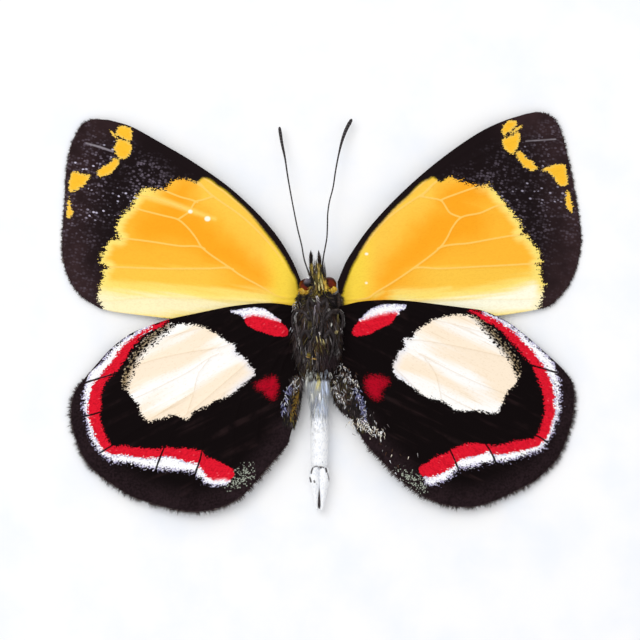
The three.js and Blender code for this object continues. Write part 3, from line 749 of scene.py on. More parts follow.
RIGHT_FOREWING_MARKS = {
    "yellow": [ring(298, 290, 296, 280, 290.5, 270, 285.5, 260, 279, 250, 271.5, 240, 263.5, 230, 255.5, 220,
        246.5, 210, 236, 200, 225, 190, 217, 185, 211, 180, 203, 178, 197, 182.5, 190, 180, 183, 178.5, 176,
        180, 170, 184, 165, 188, 160, 189.5, 150, 189, 143, 190, 138, 195, 134, 201, 131, 207, 126, 211, 122,
        216, 118, 223, 116, 229, 117, 235, 120, 239, 110, 240, 107, 245, 105, 250, 101, 256, 101, 262, 107,
        266.5, 103.5, 270, 103, 277, 101, 283, 99, 290, 97, 296, 98, 301, 102, 305, 102, 309, 110, 325, 200,
        330, 300, 325, 303, 305)],
    "spot": [ring(119, 126, 131, 128.5, 132, 134, 130.5, 141, 121, 137.5, 116.5, 134, 117, 129),
        ring(121, 139, 130, 143.5, 132, 147, 131, 152, 128, 156.5, 123, 159, 119, 157.5, 115, 152, 113.5, 148,
            116, 143, 118, 139.5),
        ring(113, 158.5, 119.5, 159, 119, 162, 116, 167, 112, 172, 106, 175.5, 100, 176.5, 97, 173, 98, 170,
            102, 166.5, 106, 165, 110, 162),
        ring(72, 172, 80, 173, 90, 176, 88, 179.5, 84, 185, 79, 188, 73, 191.5, 69, 191, 68.5, 184, 69.5,
            177),
        ring(68.5, 197, 70, 203, 71, 209, 73, 212, 70, 217, 67, 218, 66.5, 210),
        band(111, 131, 2, 114, 135, 2.5, 117, 138, 2)],
    "mist": [ring(76, 165, 95, 163, 97, 171, 80, 172),
        ring(90, 186, 96, 186, 95, 196, 89, 195),
        ring(88, 203, 110, 205, 113, 217, 95, 219),
        ring(110, 190, 135, 190, 137, 203, 112, 204),
        ring(109, 128, 117, 128, 119, 156, 111, 158)],
    # Painted highlights: lighter bands along the folds of the wing.
    "fold": [band(215, 219, 2, 195, 212, 4, 170, 203, 5, 140, 194, 6),
        band(212, 288, 1, 240, 293, 3, 265, 298, 2),
        band(105, 283, 3, 150, 287, 3, 195, 292, 2)],
    "deep": [band(184, 186, 10, 172, 215, 26, 150, 228, 20, 190, 228, 26, 215, 248, 18, 240, 264, 11, 270,
        281, 5)],
    "pale": [band(96, 304, 30, 130, 305, 26, 170, 305, 24, 220, 305, 14, 270, 303, 5)],
    "scratch": [band(86, 143, 1.3, 100, 147, 1.8, 113, 151.5, 1.5)],
    "nick": [band(207, 218.8, 4.6, 208, 218.8, 4.6),
        band(190, 211.6, 3.4, 190.8, 211.6, 3.4)],
}

LEFT_FOREWING_MARKS = {
    "yellow": [ring(342, 296.4, 344.6, 287.2, 346.7, 281, 349.7, 272.8, 352.8, 265.6, 356.9, 258.5, 361,
        250.3, 365.1, 244.1, 370.3, 235.9, 376.4, 228.7, 383.6, 220.5, 391.8, 211.3, 400, 203.1, 408.2, 195.9,
        415.4, 188.2, 422.6, 182, 428.7, 179, 432.8, 177, 440, 181.5, 446, 178.5, 452, 177, 460, 181, 470,
        184, 478, 186, 490, 186, 493, 190, 498, 195, 502, 200, 505, 204, 509, 208, 513, 212, 516, 217, 519,
        221, 521, 226, 523, 232, 520, 234, 526, 235, 530, 239, 535, 245, 538, 251, 540, 256, 541, 262, 537,
        264, 539, 266, 540, 272, 541, 278, 544, 284, 543, 290, 543, 296, 541, 302, 539, 306, 538, 309, 530,
        325, 440, 330, 345, 325, 338, 308)],
    "spot": [ring(508, 121, 515, 120.5, 517, 124, 514, 128, 508, 133, 504, 135.5, 502, 130, 504, 125),
        ring(502, 140, 510, 136, 518, 132, 520, 137, 519, 144, 517.5, 148, 514, 153, 511, 154, 506, 150, 503,
            145),
        ring(516.5, 153, 522, 152, 526, 157, 531, 160, 536, 165, 540, 167.5, 532, 170.5, 528, 169, 523, 166,
            519, 160),
        ring(541, 170, 551, 166, 561, 163.5, 566, 165, 567, 172, 568, 180, 567, 185, 561, 186, 556, 181, 551,
            174, 546, 171),
        ring(567, 190, 570, 193, 571.5, 199, 573, 206, 573, 212, 570, 211, 567, 206, 566, 200),
        band(511, 133, 2, 516, 129.5, 3, 521, 126.5, 2.5)],
    "mist": [ring(500, 188, 530, 187, 565, 190, 564, 200, 530, 198, 502, 198),
        ring(522, 140, 528, 140, 528, 144, 522, 144),
        ring(536, 159, 550, 159, 550, 165, 538, 165)],
    # Painted highlights: lighter bands along the folds of the wing.
    "fold": [band(397, 298, 1.5, 425, 293, 3, 450, 288, 2),
        band(375, 296, 3, 383, 292, 2)],
    "deep": [band(480, 192, 12, 455, 200, 22, 470, 222, 26, 445, 228, 26, 425, 244, 22, 405, 262, 12, 385,
        280, 4)],
    "pale": [band(547, 295, 38, 520, 299, 27, 480, 305, 21, 440, 306, 16, 400, 303, 8)],
    "scratch": [band(526, 141, 1, 556, 139, 1)],
    "nick": [band(366, 254, 2.2, 367, 254, 2.2),
        band(366, 283, 1.8, 366.6, 283, 1.8)],
}

RIGHT_HINDWING_MARKS = {
    "cream": [ring(170, 326, 180, 324.5, 190, 324.5, 200, 326.5, 210, 330, 220, 336, 228, 342, 235.5, 345,
        235, 352, 241, 355, 247, 361, 251, 367, 255, 373, 250, 379, 244, 384, 238, 389, 230, 395, 222, 399,
        215, 401, 207, 406, 199, 409.5, 193, 411.5, 190, 416.5, 186, 419, 178, 416.5, 172, 415, 165, 417.5,
        158, 419, 150, 421.5, 143, 417, 140, 411, 139, 405, 134, 400.5, 130, 395, 127, 388, 126, 381, 128,
        374, 131, 367, 134, 361, 138, 354, 143, 348, 150, 341, 157, 335, 163, 329.5)],
    "white": [ring(230, 311, 238, 309.5, 247, 308, 256, 307.5, 264, 309, 271, 313, 277, 318, 279, 321, 270,
        319, 263, 317, 255, 315.5, 247, 317, 240, 315),
        band(150, 328, 1.5, 135, 335, 3, 120, 347, 8, 105, 366.5, 11, 93, 377, 10, 91, 381, 9),
        band(89, 384, 8, 88, 388, 8, 85.8, 400, 6.5, 86.5, 410, 5, 87.8, 420, 3.5, 90.5, 430, 5, 94, 440, 5.5,
            98, 448, 4),
        band(101, 451, 5, 106, 454, 6, 115, 458.5, 7, 130, 459, 8, 145, 462.5, 9, 158, 464, 9),
        band(161, 464, 10, 168, 463, 14, 185, 466, 10, 196, 467.5, 9),
        band(200, 472, 8, 212, 481, 8, 225, 481.5, 7)],
    "red": [ring(245, 321, 247, 317, 255, 315.5, 263, 317, 270, 319, 278, 321, 284, 325, 288, 330, 288, 335,
        284, 336.5, 278, 336.5, 270, 335, 262, 332, 254, 329, 247, 325),
        band(168, 320, 2, 160, 325, 4, 150, 329, 4, 140, 335, 4.5, 133, 342, 6, 126, 349, 9, 118, 361, 10,
            112, 369, 10, 105, 376, 8, 98, 386, 11, 95, 395, 12, 94.5, 405, 13, 94, 414, 12, 96, 425, 10.5,
            101, 437, 10, 106, 446, 9.5, 113, 450, 8.5, 125, 450.5, 9, 140, 453, 10, 152, 453.5, 9, 161, 453,
            8.5),
        band(165, 451.5, 9, 176, 453, 10, 185, 454.5, 13, 198, 457, 13),
        band(205, 463, 13, 215, 470, 20, 222, 471.5, 16, 228, 473.5, 13)],
    "dim_red": [ring(255, 385, 262, 380, 268, 378, 274, 376, 277, 381, 278, 388, 276, 395, 273, 399.5, 268,
        397, 262, 391, 256, 388)],
    "dust": [ring(122, 388, 124, 370, 134, 350, 150, 334, 166, 324, 172, 330, 156, 346, 140, 362, 132, 380)],
    "frost": [ring(230, 485, 238, 485, 245, 479, 252, 472, 248, 467, 242, 471, 235, 478)],
}

LEFT_HINDWING_MARKS = {
    "cream": [ring(460, 315, 450, 315.6, 440, 318, 430.4, 321.4, 423.2, 326, 418.7, 329.5, 414.3, 333, 413.4,
        336.7, 409.8, 339, 403.5, 339.4, 404.4, 343, 404.4, 348, 398, 353, 396.3, 359, 392.7, 366, 394.5,
        373.5, 399, 378, 406, 382.5, 415, 388.7, 425, 396, 436, 399.5, 445.7, 403, 452.8, 408.5, 465, 410.5,
        480, 411, 490, 413, 498, 412, 500, 408, 503, 402, 505, 396, 508, 391, 513, 387, 516, 384, 517, 376,
        516, 370, 515, 364, 513, 360, 510, 355, 505, 350, 500, 344, 495, 338, 491, 333, 486, 327, 482, 322,
        477, 318, 470, 316)],
    "white": [ring(361, 320, 364, 315, 369, 310, 376, 306.5, 384, 304.5, 392, 304, 400, 304.5, 406, 305.5,
        405, 309, 401, 310, 397, 313, 384, 315, 366, 320),
        band(485, 312.5, 1.5, 500, 320, 3, 510, 326.5, 4, 520, 334, 5, 525, 341, 8, 535, 350, 9, 543, 358, 10,
            548, 363, 9, 551, 368, 9),
        band(552, 371, 9, 553, 375, 9, 557, 384, 6.5, 558, 395, 5, 557.5, 405, 5, 558, 412, 4, 556, 420, 4,
            552, 428, 4.5, 547, 437, 5),
        band(545, 442, 5, 542, 445, 6, 530, 450, 8, 520, 453, 8, 510, 456, 9, 496, 458, 7.5),
        band(491, 457, 10, 486, 457, 12, 475, 460, 11, 465, 462, 11, 458, 462.5, 9),
        band(453, 469, 9, 440, 478, 8.5, 432, 480, 8, 427, 481, 6)],
    "red": [ring(352, 333, 354, 327, 359, 321.5, 366, 319.5, 374, 316.5, 384, 314, 392, 312.5, 397, 313, 395,
        318, 391, 323, 385, 326.5, 378, 329.5, 372, 333, 366, 335, 360, 336, 354, 335.5),
        band(470, 310.5, 2, 475, 312.5, 4, 485, 318, 5, 495, 323, 5.5, 505, 330, 6, 513, 338, 9, 520, 345,
            8.5, 528, 353, 11, 535, 362, 9, 541, 372, 11, 546, 384, 11, 549, 395, 11, 549, 404, 9, 550, 412,
            11, 548, 420, 10, 545, 430, 10, 541, 438, 9, 534, 443, 9, 525, 445, 10, 515, 446.5, 11, 505, 449,
            10, 493, 450, 8),
        band(488, 448, 7.5, 475, 449.5, 12.5, 465, 451, 14, 455, 455, 14),
        band(450, 459, 15, 447, 461, 17, 438, 465.5, 17, 430, 469.5, 15, 425, 470, 12)],
    "dim_red": [ring(365, 381, 369, 376, 376, 375.5, 383, 377, 389, 381, 386, 386, 381, 391, 381, 397, 375,
        399.5, 370, 396, 366, 389)],
    "dust": [ring(478, 314, 496, 330, 510, 346, 520, 362, 520, 374, 512, 366, 500, 350, 486, 334, 474, 320)],
    "frost": [ring(426, 485, 418, 488, 409, 484, 402, 476, 399, 470, 405, 473, 415, 477, 424, 480)],
}


# Wings


WING_ROOT_X = 2.9 * MM
WING_ROOT_Z = 1.42 * MM
WING_TIP_Z = 0.16 * MM
WING_ARCH = 0.28 * MM
LAP_LIFT = 0.36 * MM
LAP_REAR_LIFT = 0.06 * MM
LAP_REAR_Y = -11 * MM
VEIN_FADE = 0.015  # share of its length over which a branch starts
UNSEEN = 9.0  # millimetres, where a value has nothing to measure


def membrane_height(x: Array, y: Array, lapped: bool) -> Array:
    """The height of the middle of a wing's membrane, as the solids have it."""
    out = np.clip((np.abs(x) - WING_ROOT_X) / (WINGSPAN / 2 - WING_ROOT_X), 0, 1)
    plain = WING_ROOT_Z + (WING_TIP_Z - WING_ROOT_Z) * out + WING_ARCH * np.sin(math.pi * out)
    if not lapped:
        return plain
    behind = 1 - smoothstep(y, LAP_REAR_Y, 0.0)
    return plain + LAP_LIFT + (LAP_REAR_LIFT - LAP_LIFT) * behind


@dataclass
class Wing:
    """One wing: a thin membrane with veins, scales on both sides and a fringe.

    Its mesh is two sheets over one plan of close triangles, whose corners hold how far they are from the
    veins, the margin and the edge of each mark.
    """

    name: str
    drawing: WingDrawing
    marks: Marks
    slot: str
    scales: Material
    back_scales: Material
    fringe_hair: Material
    fringe_length: float
    fringe_palette: Palette
    seed: int
    spacing: float = 0.135 * MM
    half_thickness: float = 0.05 * MM
    rim_half_thickness: float = 0.02 * MM
    vein_height: float = 0.06 * MM
    vein_half_width: float = 0.2 * MM
    sag: float = 0.07 * MM
    wave: float = 0.035 * MM
    cut_reach: float = 6.5  # millimetres from the margin, where dark veins cross the bands
    clump_size: int = 18  # hairs of the fringe that cling together

    def curve(self, points: Sequence[Point2], spacing: float) -> Array:
        """A smooth plan curve through points that are given in plan steps."""
        return smooth_path(np.array(points, float) * STEP, spacing)

    def outline(self) -> Array:
        """The closed plan outline, from the hinge along the front edge and back along the inner edge."""
        front = self.curve(self.drawing.veins[0].path, self.spacing)
        rim = self.curve(self.drawing.margin, self.spacing)
        inner = self.curve(self.drawing.veins[-1].path, self.spacing)[::-1]
        hinge = np.array([vein.path[0] for vein in self.drawing.veins[-2:0:-1]]) * STEP
        return np.vstack([front, rim[1:], inner[1:], hinge])

    def plan(self, outline: Array) -> tuple[Array, Array]:
        """Fills the outline with close triangles.

        Args:
            outline: The closed outline.

        Returns:
            Plan positions, and triangles that all turn the same way.
        """
        low, high = outline.min(0), outline.max(0)
        rows = np.arange(low[1], high[1], self.spacing * math.sqrt(3) / 2)
        columns = np.arange(low[0], high[0], self.spacing)
        x, y = np.meshgrid(columns, rows)
        x = x + (np.arange(len(rows)) % 2)[:, None] * self.spacing / 2
        spots = np.stack([x.ravel(), y.ravel()], axis=1)
        spots = spots[depth_in(spots, outline) > 0.5 * self.spacing]
        places = np.vstack([outline, spots])
        count = len(outline)
        edges = [(index, (index + 1) % count) for index in range(count)]
        result = delaunay_2d_cdt([Vector(place) for place in places / MM], edges, [], 1, 1e-5, False)
        made = np.array([tuple(place) for place in result[0]]) * MM
        faces = np.array([face for face in result[2] if len(face) == 3])
        a, b, c = (made[faces[:, corner]] for corner in range(3))
        turns = (b - a)[:, 0] * (c - a)[:, 1] - (b - a)[:, 1] * (c - a)[:, 0]
        faces[turns < 0] = faces[turns < 0][:, ::-1]
        return made, faces[turns != 0]

    def relief(self, places: Array) -> tuple[Array, Array]:
        """How high the veins stand at each place, and the distance to the nearest one in millimetres."""
        height = np.zeros(len(places))
        nearest = np.full(len(places), UNSEEN)
        lines = [(self.curve(vein.path, 0.4 * MM), vein.start, vein.end) for vein in self.drawing.veins]
        lines.append((self.curve(self.drawing.cell_end, 0.3 * MM), 0.0, 1.0))
        for line, start, end in lines:
            away, share = line_distance(places, line)
            risen = np.ones(len(places)) if start == 0 else smoothstep(share, start - VEIN_FADE, start)
            if end < 1:
                risen = risen * (1 - smoothstep(share, end, 1.0))
            across = np.clip(1 - (away / self.vein_half_width) ** 2, 0, 1) ** 2
            height = np.maximum(height, across * risen * self.vein_height * (1.15 - 0.6 * share))
            nearest = np.minimum(nearest, np.where(risen > 0.1, away / MM, UNSEEN))
        return height, nearest

    def build(self) -> None:
        """Makes the wing's piece in place of its solid."""
        outline = self.outline()
        places, faces = self.plan(outline)
        rise, nearest = self.relief(places)
        edge, _ = line_distance(places, np.vstack([outline, outline[:1]]))
        rim, _ = line_distance(places, self.curve(self.drawing.margin, 0.3 * MM))
        front, _ = line_distance(places, self.curve(self.drawing.veins[0].path, 0.3 * MM))
        x, y = places.T
        reach = np.hypot(x, y)
        ripple = np.sin(reach / (1.1 * MM) + 3 * np.sin(np.arctan2(y, np.abs(x)) * 5 + self.seed))
        firm = np.minimum(edge / (1.5 * MM), 1)
        slack = np.minimum(nearest / 1.4, 1)
        middle = membrane_height(x, y, self.drawing.lapped)
        middle += firm * slack * (self.wave * ripple - self.sag)
        half = self.rim_half_thickness
        half = half + (self.half_thickness - half) * np.minimum(edge / (0.4 * MM), 1)
        top = np.column_stack([places, middle + half + rise])
        under = np.column_stack([places, middle - half - rise * 0.5])
        seams = open_edges(faces)
        first, last = seams.T
        below = len(top)
        sides = np.vstack([stack(last, first, first + below), stack(last, first + below, last + below)])
        values = {"vein": nearest, "edge": edge / MM, "rim": rim / MM, "front": front / MM}
        values |= mark_depths(self.marks, places)
        crossing = [line_distance(places, self.curve(self.drawing.veins[index].path, 0.4 * MM))[0] / MM
                    for index in self.drawing.cuts]
        near_rim = rim / MM < self.cut_reach
        values["cut"] = np.where(near_rim, np.min(crossing, axis=0), UNSEEN) if crossing else nearest
        parts = MeshParts()
        both = {name: np.concatenate([each, each]) for name, each in values.items()}
        parts.add(np.vstack([top, under]), np.vstack([faces, sides]), 0, **both)
        parts.faces.append(faces[:, ::-1] + len(top))
        parts.materials.append(np.full(len(faces), 1))
        piece = parts.build(f"{self.name}_scaled")
        piece.data.materials.append(self.scales)
        piece.data.materials.append(self.back_scales)
        finish_piece(piece, self.slot, self.name)

    def build_fringe(self) -> None:
        """Makes the fringe of hair-thin scales along the outer margin."""
        rng = np.random.default_rng(self.seed)
        rim = self.curve(self.drawing.margin, 0.02 * MM)
        rim = np.repeat(rim, 3, axis=0)
        share = np.linspace(0, 1, len(rim))
        along = np.gradient(rim, axis=0)
        along = np.where(np.abs(along).sum(1, keepdims=True) > 0, along, np.roll(along, 1, axis=0))
        along = unit(along)
        outward = stack(-along[:, 1], along[:, 0])
        outward *= np.sign(np.sum(outward * (rim - rim.mean(0)), axis=1, keepdims=True))
        ends = smoothstep(share, 0, 0.12) * smoothstep(share, 1, 0.92)
        clump = rng.uniform(0.35, 1.25, len(rim) // self.clump_size + 1).repeat(self.clump_size)[:len(rim)]
        lengths = self.fringe_length * rng.uniform(0.45, 1.05, len(rim)) ** 1.5 * clump * (0.2 + 0.8 * ends)
        sweep = rng.normal(0.1, 0.25, len(rim))[:, None]
        ahead = np.column_stack([outward + along * sweep, rng.normal(-0.05, 0.1, len(rim))])
        height = membrane_height(rim[:, 0], rim[:, 1], self.drawing.lapped)
        roots = np.column_stack([rim - outward * 0.06 * MM, height + rng.normal(0, 0.015 * MM, len(rim))])
        blades = Blades(rng)
        colours = blades.pick(self.fringe_palette, len(rim))
        blades.add(roots, ahead, lengths, 0.035 * MM, colours, droop=0.05, joints=1)
        blades.parts.finish(f"{self.name}_fringe", self.fringe_hair, self.slot)


def open_edges(faces: Array) -> Array:
    """The edges that only one triangle has, each in that triangle's direction."""
    edges = np.vstack([faces[:, [0, 1]], faces[:, [1, 2]], faces[:, [2, 0]]])
    _, where, counts = np.unique(np.sort(edges, axis=1), axis=0, return_index=True, return_counts=True)
    return edges[where[counts == 1]]


def finish_piece(piece: bpy.types.Object, slot: str, *nodes: str) -> None:
    """Ties a finished piece to the frame.

    Args:
        piece: The piece, in place.
        slot: Not used.
        nodes: The solids that it stands for.
    """
    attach(piece, "root")
    if nodes:
        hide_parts(*nodes)
    LOG.info("%s: %d triangles", piece.name, len(piece.data.polygons))


# Finishes


@dataclass(frozen=True)
class ScaleCoat:
    """Rows of scales laid like tiles, with single scales that stray past the edge of their colour."""

    length: float = 0.19  # millimetres
    width: float = 0.1
    ragged: float = 0.34  # how far single scales stray past an edge, in millimetres
    dusty: float = 1.3  # how far groups of a few scales stray
    spiky: float = 0.85  # how far rows of scales stray along the wing
    roughness: float = 0.72
    gloss: float = 0.05

    def lay(self, shader: Shader, turn: float) -> tuple[Expression, Expression, Expression]:
        """Lays the scales out along a direction.

        Args:
            shader: The material.
            turn: The direction that they point in, from +X towards +Y.

        Returns:
            Their height, a number from 0 to 1 for each scale, and how far colours stray in millimetres.
        """
        lain = shader.place((1 / self.length, 1 / self.width, 1 / self.length), -turn)
        height, pick = shader.cells(lain, 1.0)
        rows = shader.noise(shader.place((1.1, 7.0, 1.1), -turn), 1.0, 2.0)
        fine = shader.noise(shader.place(), 6.5, 2.0)
        stray = (pick - 0.5) * self.ragged + (rows - 0.5) * self.spiky + (fine - 0.5) * self.dusty
        return height, pick, stray

    def finish(self, shader: Shader, colour: Paint, height: Expression) -> Material:
        """Connects the colour and the relief of the scales."""
        shader.bump(1 - height, 0.012 * MM, 0.55)
        return shader.finish(colour, self.roughness, self.gloss)


@dataclass(frozen=True)
class ForewingFinish:
    """Yellow scales with a black border, on the underside and on the upper side of a forewing."""

    turn: float
    coat: ScaleCoat = ScaleCoat()
    costal: Colour = rgb(253, 201, 74)
    middle: Colour = rgb(254, 184, 52)
    deep: Colour = rgb(252, 163, 24)
    lower: Colour = rgb(252, 198, 70)
    lemon: Colour = rgb(252, 226, 118)
    ivory: Colour = rgb(255, 252, 226)
    # Olive is painted shade, at the root and along the edge of the black in the inner part of the wing.
    olive: Colour = rgb(206, 178, 44)
    root: Colour = rgb(250, 218, 72)
    bleached: float = 1.0  # how near white the inner edge comes
    vein: Colour = rgb(255, 208, 108)
    spot: Colour = rgb(250, 190, 48)
    black: Colour = rgb(24, 15, 17)
    outer: Colour = rgb(52, 36, 38)
    woven: Colour = rgb(112, 101, 114)
    speckled: float = 0.9  # how strong the weave shows
    glint: Colour = rgb(206, 200, 222)

    def dark(self, shader: Shader) -> Expression:
        """The black border: woven rows of purplish scales, browner outside, with pale glints."""
        height, pick = shader.cells(shader.place((3.1, 4.6, 1.0), 0.2), 1.0)
        soft = height.step(0.75, 0.25)
        inward = shader["front"].step(0.7, 3.5)
        inward = inward * (shader.axis(shader.place(), 1).step(8.5, 11.0) * 0.75 + 0.25)
        patchy = shader.noise(shader.place(), 0.5, 3.0)
        shade = shader.mix(self.black, self.outer, shader["rim"].step(5.0, 0.3) * patchy * 1.5)
        weave = pick.step(0.35, 0.95) * soft * inward * patchy.step(0.3, 0.6)
        shade = shade.mix(self.woven, weave * self.speckled)
        mist = shader["mist"].step(-1.0, 0.3)
        glints = (pick + mist * 0.14 + (patchy - 0.5) * 0.1).step(0.99, 1.08) * height.step(0.6, 0.2)
        shade = shade.mix(self.glint, glints * inward * self.speckled)
        return shade.mix(rgb(146, 138, 146), shader["scratch"].step(-0.08, 0.08))

    def field(self, shader: Shader, pick: Expression) -> Expression:
        """The yellow field: deep along the cell, lighter in front, pale along the inner edge."""
        where = shader.place()
        y = shader.axis(where, 1)
        out = shader.aside()
        cloud = (shader.noise(where, 0.45, 3.0) - 0.5) * 1.6
        lines = (shader.noise(shader.place((0.16, 2.6, 1.0), -self.turn), 1.0, 2.0) - 0.5) * 1.3
        front = shader["front"]
        colour = shader.mix(self.costal, self.middle, (front + cloud).step(1.5, 4.5))
        colour = colour.mix(self.deep, (shader["deep"] + cloud).step(-1.8, 0.9) * 0.8)
        colour = colour.mix(self.lower, (y + lines).step(6.9, 6.2) * out.step(7.5, 13.0))
        pale = shader["pale"] + lines
        colour = colour.mix(self.lemon, pale.step(-1.5, -0.1))
        colour = colour.mix(self.ivory, pale.step(-0.4, 0.9) * self.bleached)
        rim = (shader["yellow"] + lines * 0.5).step(1.15, 0.2) * out.step(15.5, 18.5)
        colour = colour.mix(shader.mix(self.lemon, self.ivory, y.step(5.0, 3.0) * 0.7), rim)
        # Lemon along the folds is a painted highlight.
        fold = (shader["fold"] + cloud * 0.1).step(-0.3, 0.2)
        colour = colour.mix(self.lemon, fold * 0.6)
        colour = colour.mix(self.root, out.step(6.4, 3.8) * 0.8)
        # Olive at the root beside the body, and in shady along the black's edge, is painted shade.
        colour = colour.mix(self.olive, out.step(3.6, 2.2) * 0.7)
        shady = shader["yellow"].step(0.24, 0.0) * out.step(15.0, 11.0)
        colour = colour.mix(self.olive, shady)
        veins = shader["vein"].step(0.13, 0.05) * out.step(3.0, 5.0)
        colour = colour.mix(self.vein, veins * (0.8 - pale.step(-1.5, -0.2) * 0.65))
        colour = colour.mix(rgb(190, 112, 14), pick.step(0.4, 1.0) * 0.08)
        return colour.mix(rgb(255, 251, 230), shader["nick"].step(-0.1, 0.08))

    def under(self) -> Material:
        """The underside, which faces up."""
        shader = Shader("forewing_underside")
        height, pick, stray = self.coat.lay(shader, self.turn)
        loose = shader["front"].step(0.8, 2.6)
        ragged = (shader["yellow"] + stray * (loose * 0.9 + 0.1)) / (0.17 - loose * 0.13)
        colour = shader.mix(self.dark(shader), self.field(shader, pick), ragged.step(-1.0, 1.0))
        spot = shader["spot"]
        tint = shader.mix(self.spot, rgb(240, 206, 100), (spot + stray * 0.4).step(0.3, 0.02) * 0.75)
        tint = tint.mix(rgb(206, 146, 36), pick.step(0.6, 1.0) * 0.15)
        colour = colour.mix(tint, (spot + stray * 0.42).step(-0.03, 0.05))
        return self.coat.finish(shader, colour, height)

    def back(self) -> Material:
        """The upper side, which lies on the surface: cream with the same border."""
        shader = Shader("forewing_upperside")
        height, pick, stray = self.coat.lay(shader, self.turn)
        colour = shader.mix(rgb(250, 244, 226), rgb(228, 214, 176), pick * 0.6)
        colour = colour.mix(rgb(190, 180, 160), shader["vein"].step(0.1, 0.04) * 0.6)
        dark = self.dark(shader)
        colour = shader.mix(dark, colour, (shader["yellow"] + stray).step(0.3, 0.4))
        spot = (shader["spot"] + stray).step(0.12, 0.2)
        return self.coat.finish(shader, colour.mix(rgb(240, 232, 210), spot), height)


@dataclass(frozen=True)
class HindwingFinish:
    """Black scales with a cream patch and a red band edged in white."""

    turn: float
    coat: ScaleCoat = ScaleCoat(gloss=0.03)
    black: Colour = rgb(14, 8, 9)
    # Brown: the wing's own tint in patches, and painted sheen in streaks.
    brown: Colour = rgb(40, 27, 28)
    outer: Colour = rgb(42, 30, 34)
    cream: Colour = rgb(252, 234, 210)
    # White of the painted highlight streaks in the cream patch and of its inner edge.
    streak: Colour = rgb(255, 253, 250)
    tan: Colour = rgb(214, 186, 146)
    gilt: Colour = rgb(132, 108, 66)
    red: Colour = rgb(224, 24, 46)
    deep_red: Colour = rgb(170, 8, 28)
    dim_red: Colour = rgb(176, 8, 34)
    pink: Colour = rgb(250, 150, 160)
    white: Colour = rgb(255, 255, 255)
    lilac: Colour = rgb(176, 170, 206)
    frost: Colour = rgb(186, 194, 178)

    def ground(self, shader: Shader) -> Expression:
        """The black ground: browner towards the margin; along some veins, painted sheen over a brown tint."""
        rim = shader["rim"]
        patchy = shader.noise(shader.place(), 0.6, 3.0)
        lines = shader.noise(shader.place((0.14, 1.7, 1.0), -self.turn), 1.0, 3.0)
        # Brown streaks along the wing within patches: the streaks are painted sheen, the patches a real brown
        # tint.
        colour = shader.mix(self.black, self.brown, lines.step(0.5, 0.7) * patchy.step(0.35, 0.65) * 0.6)
        mottled = shader.noise(shader.place(), 4.5, 2.0)
        return colour.mix(self.outer, rim.step(3.0, 0.6) * (patchy * 0.6 + mottled.step(0.3, 0.7) * 0.6))

    def patch(self, shader: Shader, pick: Expression, depth: Expression) -> Expression:
        """The cream patch: broad soft streaks of painted highlight along the veins, whiter in painted lilac
        shade at its inner edge.
        """
        broad = shader.noise(shader.place((0.07, 0.34, 0.1), -self.turn), 1.0, 1.0)
        fine = shader.noise(shader.place((0.16, 3.4, 0.3), -self.turn), 1.0, 2.0)
        out = shader.aside()
        # The white streaks along the veins are painted highlights.
        colour = shader.mix(self.cream, self.streak, (broad + (fine - 0.5) * 0.2).step(0.42, 0.62))
        colour = colour.mix(self.tan, fine.step(0.4, 0.25) * 0.3)
        # Lilac-white at the inner edge near the body is painted shade.
        inner = depth.step(1.1, 0.0) * out.step(11.0, 8.5) * 0.7
        colour = colour.mix(shader.mix(self.streak, rgb(222, 224, 242), inner), inner)
        colour = colour.mix(self.tan, shader["vein"].step(0.1, 0.03) * 0.3)
        return colour.mix(self.tan, pick.step(0.75, 1.0) * 0.16)

    def under(self) -> Material:
        """The underside, which faces up."""
        shader = Shader("hindwing_underside")
        height, pick, stray = self.coat.lay(shader, self.turn)
        loose = shader.aside().step(9.5, 12.0) * 0.88 + 0.12
        depth = shader["cream"]
        dust = shader["dust"].step(-0.7, 0.3)
        patch = depth + stray * (0.6 + dust * 0.6) + (pick - 0.55) * dust * 1.6
        cream = shader.mix(self.patch(shader, pick, depth), self.gilt, dust * depth.step(0.7, -0.2) * 0.9)
        colour = shader.mix(self.ground(shader), cream, patch.step(-0.07, 0.08))
        grain, chance = shader.cells(shader.place(), 7.5)
        frosted = shader["frost"].step(-1.0, 0.6) * 0.72
        flecks = (chance + frosted).step(1.0, 1.05) * grain.step(0.65, 0.35)
        colour = colour.mix(self.frost, flecks * 0.8)
        cut = shader["cut"] + stray * 0.06
        white = shader["white"]
        red = shader["red"]
        snow = shader.mix(self.white, self.lilac, (white + stray * 0.8).step(0.5, 0.0) * pick.step(0.15, 0.6))
        near = (1 - loose) * white.step(-0.2, 0.1)
        snow = snow.mix(self.pink, (red + stray * 0.5).step(-0.28, 0.0) * 0.7 * (1 - loose))
        kept = shader["rim"].step(0.2, 0.9)
        joined = (white + stray * (loose * 1.0 + 0.15) * kept).most((white + 0.25).least(red + 0.25))
        colour = colour.mix(snow, joined.step(-0.03, 0.04) * cut.step(0.07, 0.13))
        blood = shader.mix(self.red, self.deep_red, pick.step(0.35, 1.0) * 0.55)
        blood = blood.mix(self.pink, pick.step(0.02, 0.0) * 0.3)
        blood = blood.mix(self.pink, (red + stray * 0.9).step(0.4, 0.0) * near * 0.8)
        banded = (red + stray * (loose * 0.35 + 0.2)).step(-0.03, 0.04)
        colour = colour.mix(blood, banded * cut.step(0.06, 0.11))
        dim = (shader["dim_red"] + stray * 0.8).step(-0.3, 0.35)
        colour = colour.mix(shader.mix(self.dim_red, self.black, pick.step(0.4, 1.0) * 0.4), dim)
        return self.coat.finish(shader, colour, height)

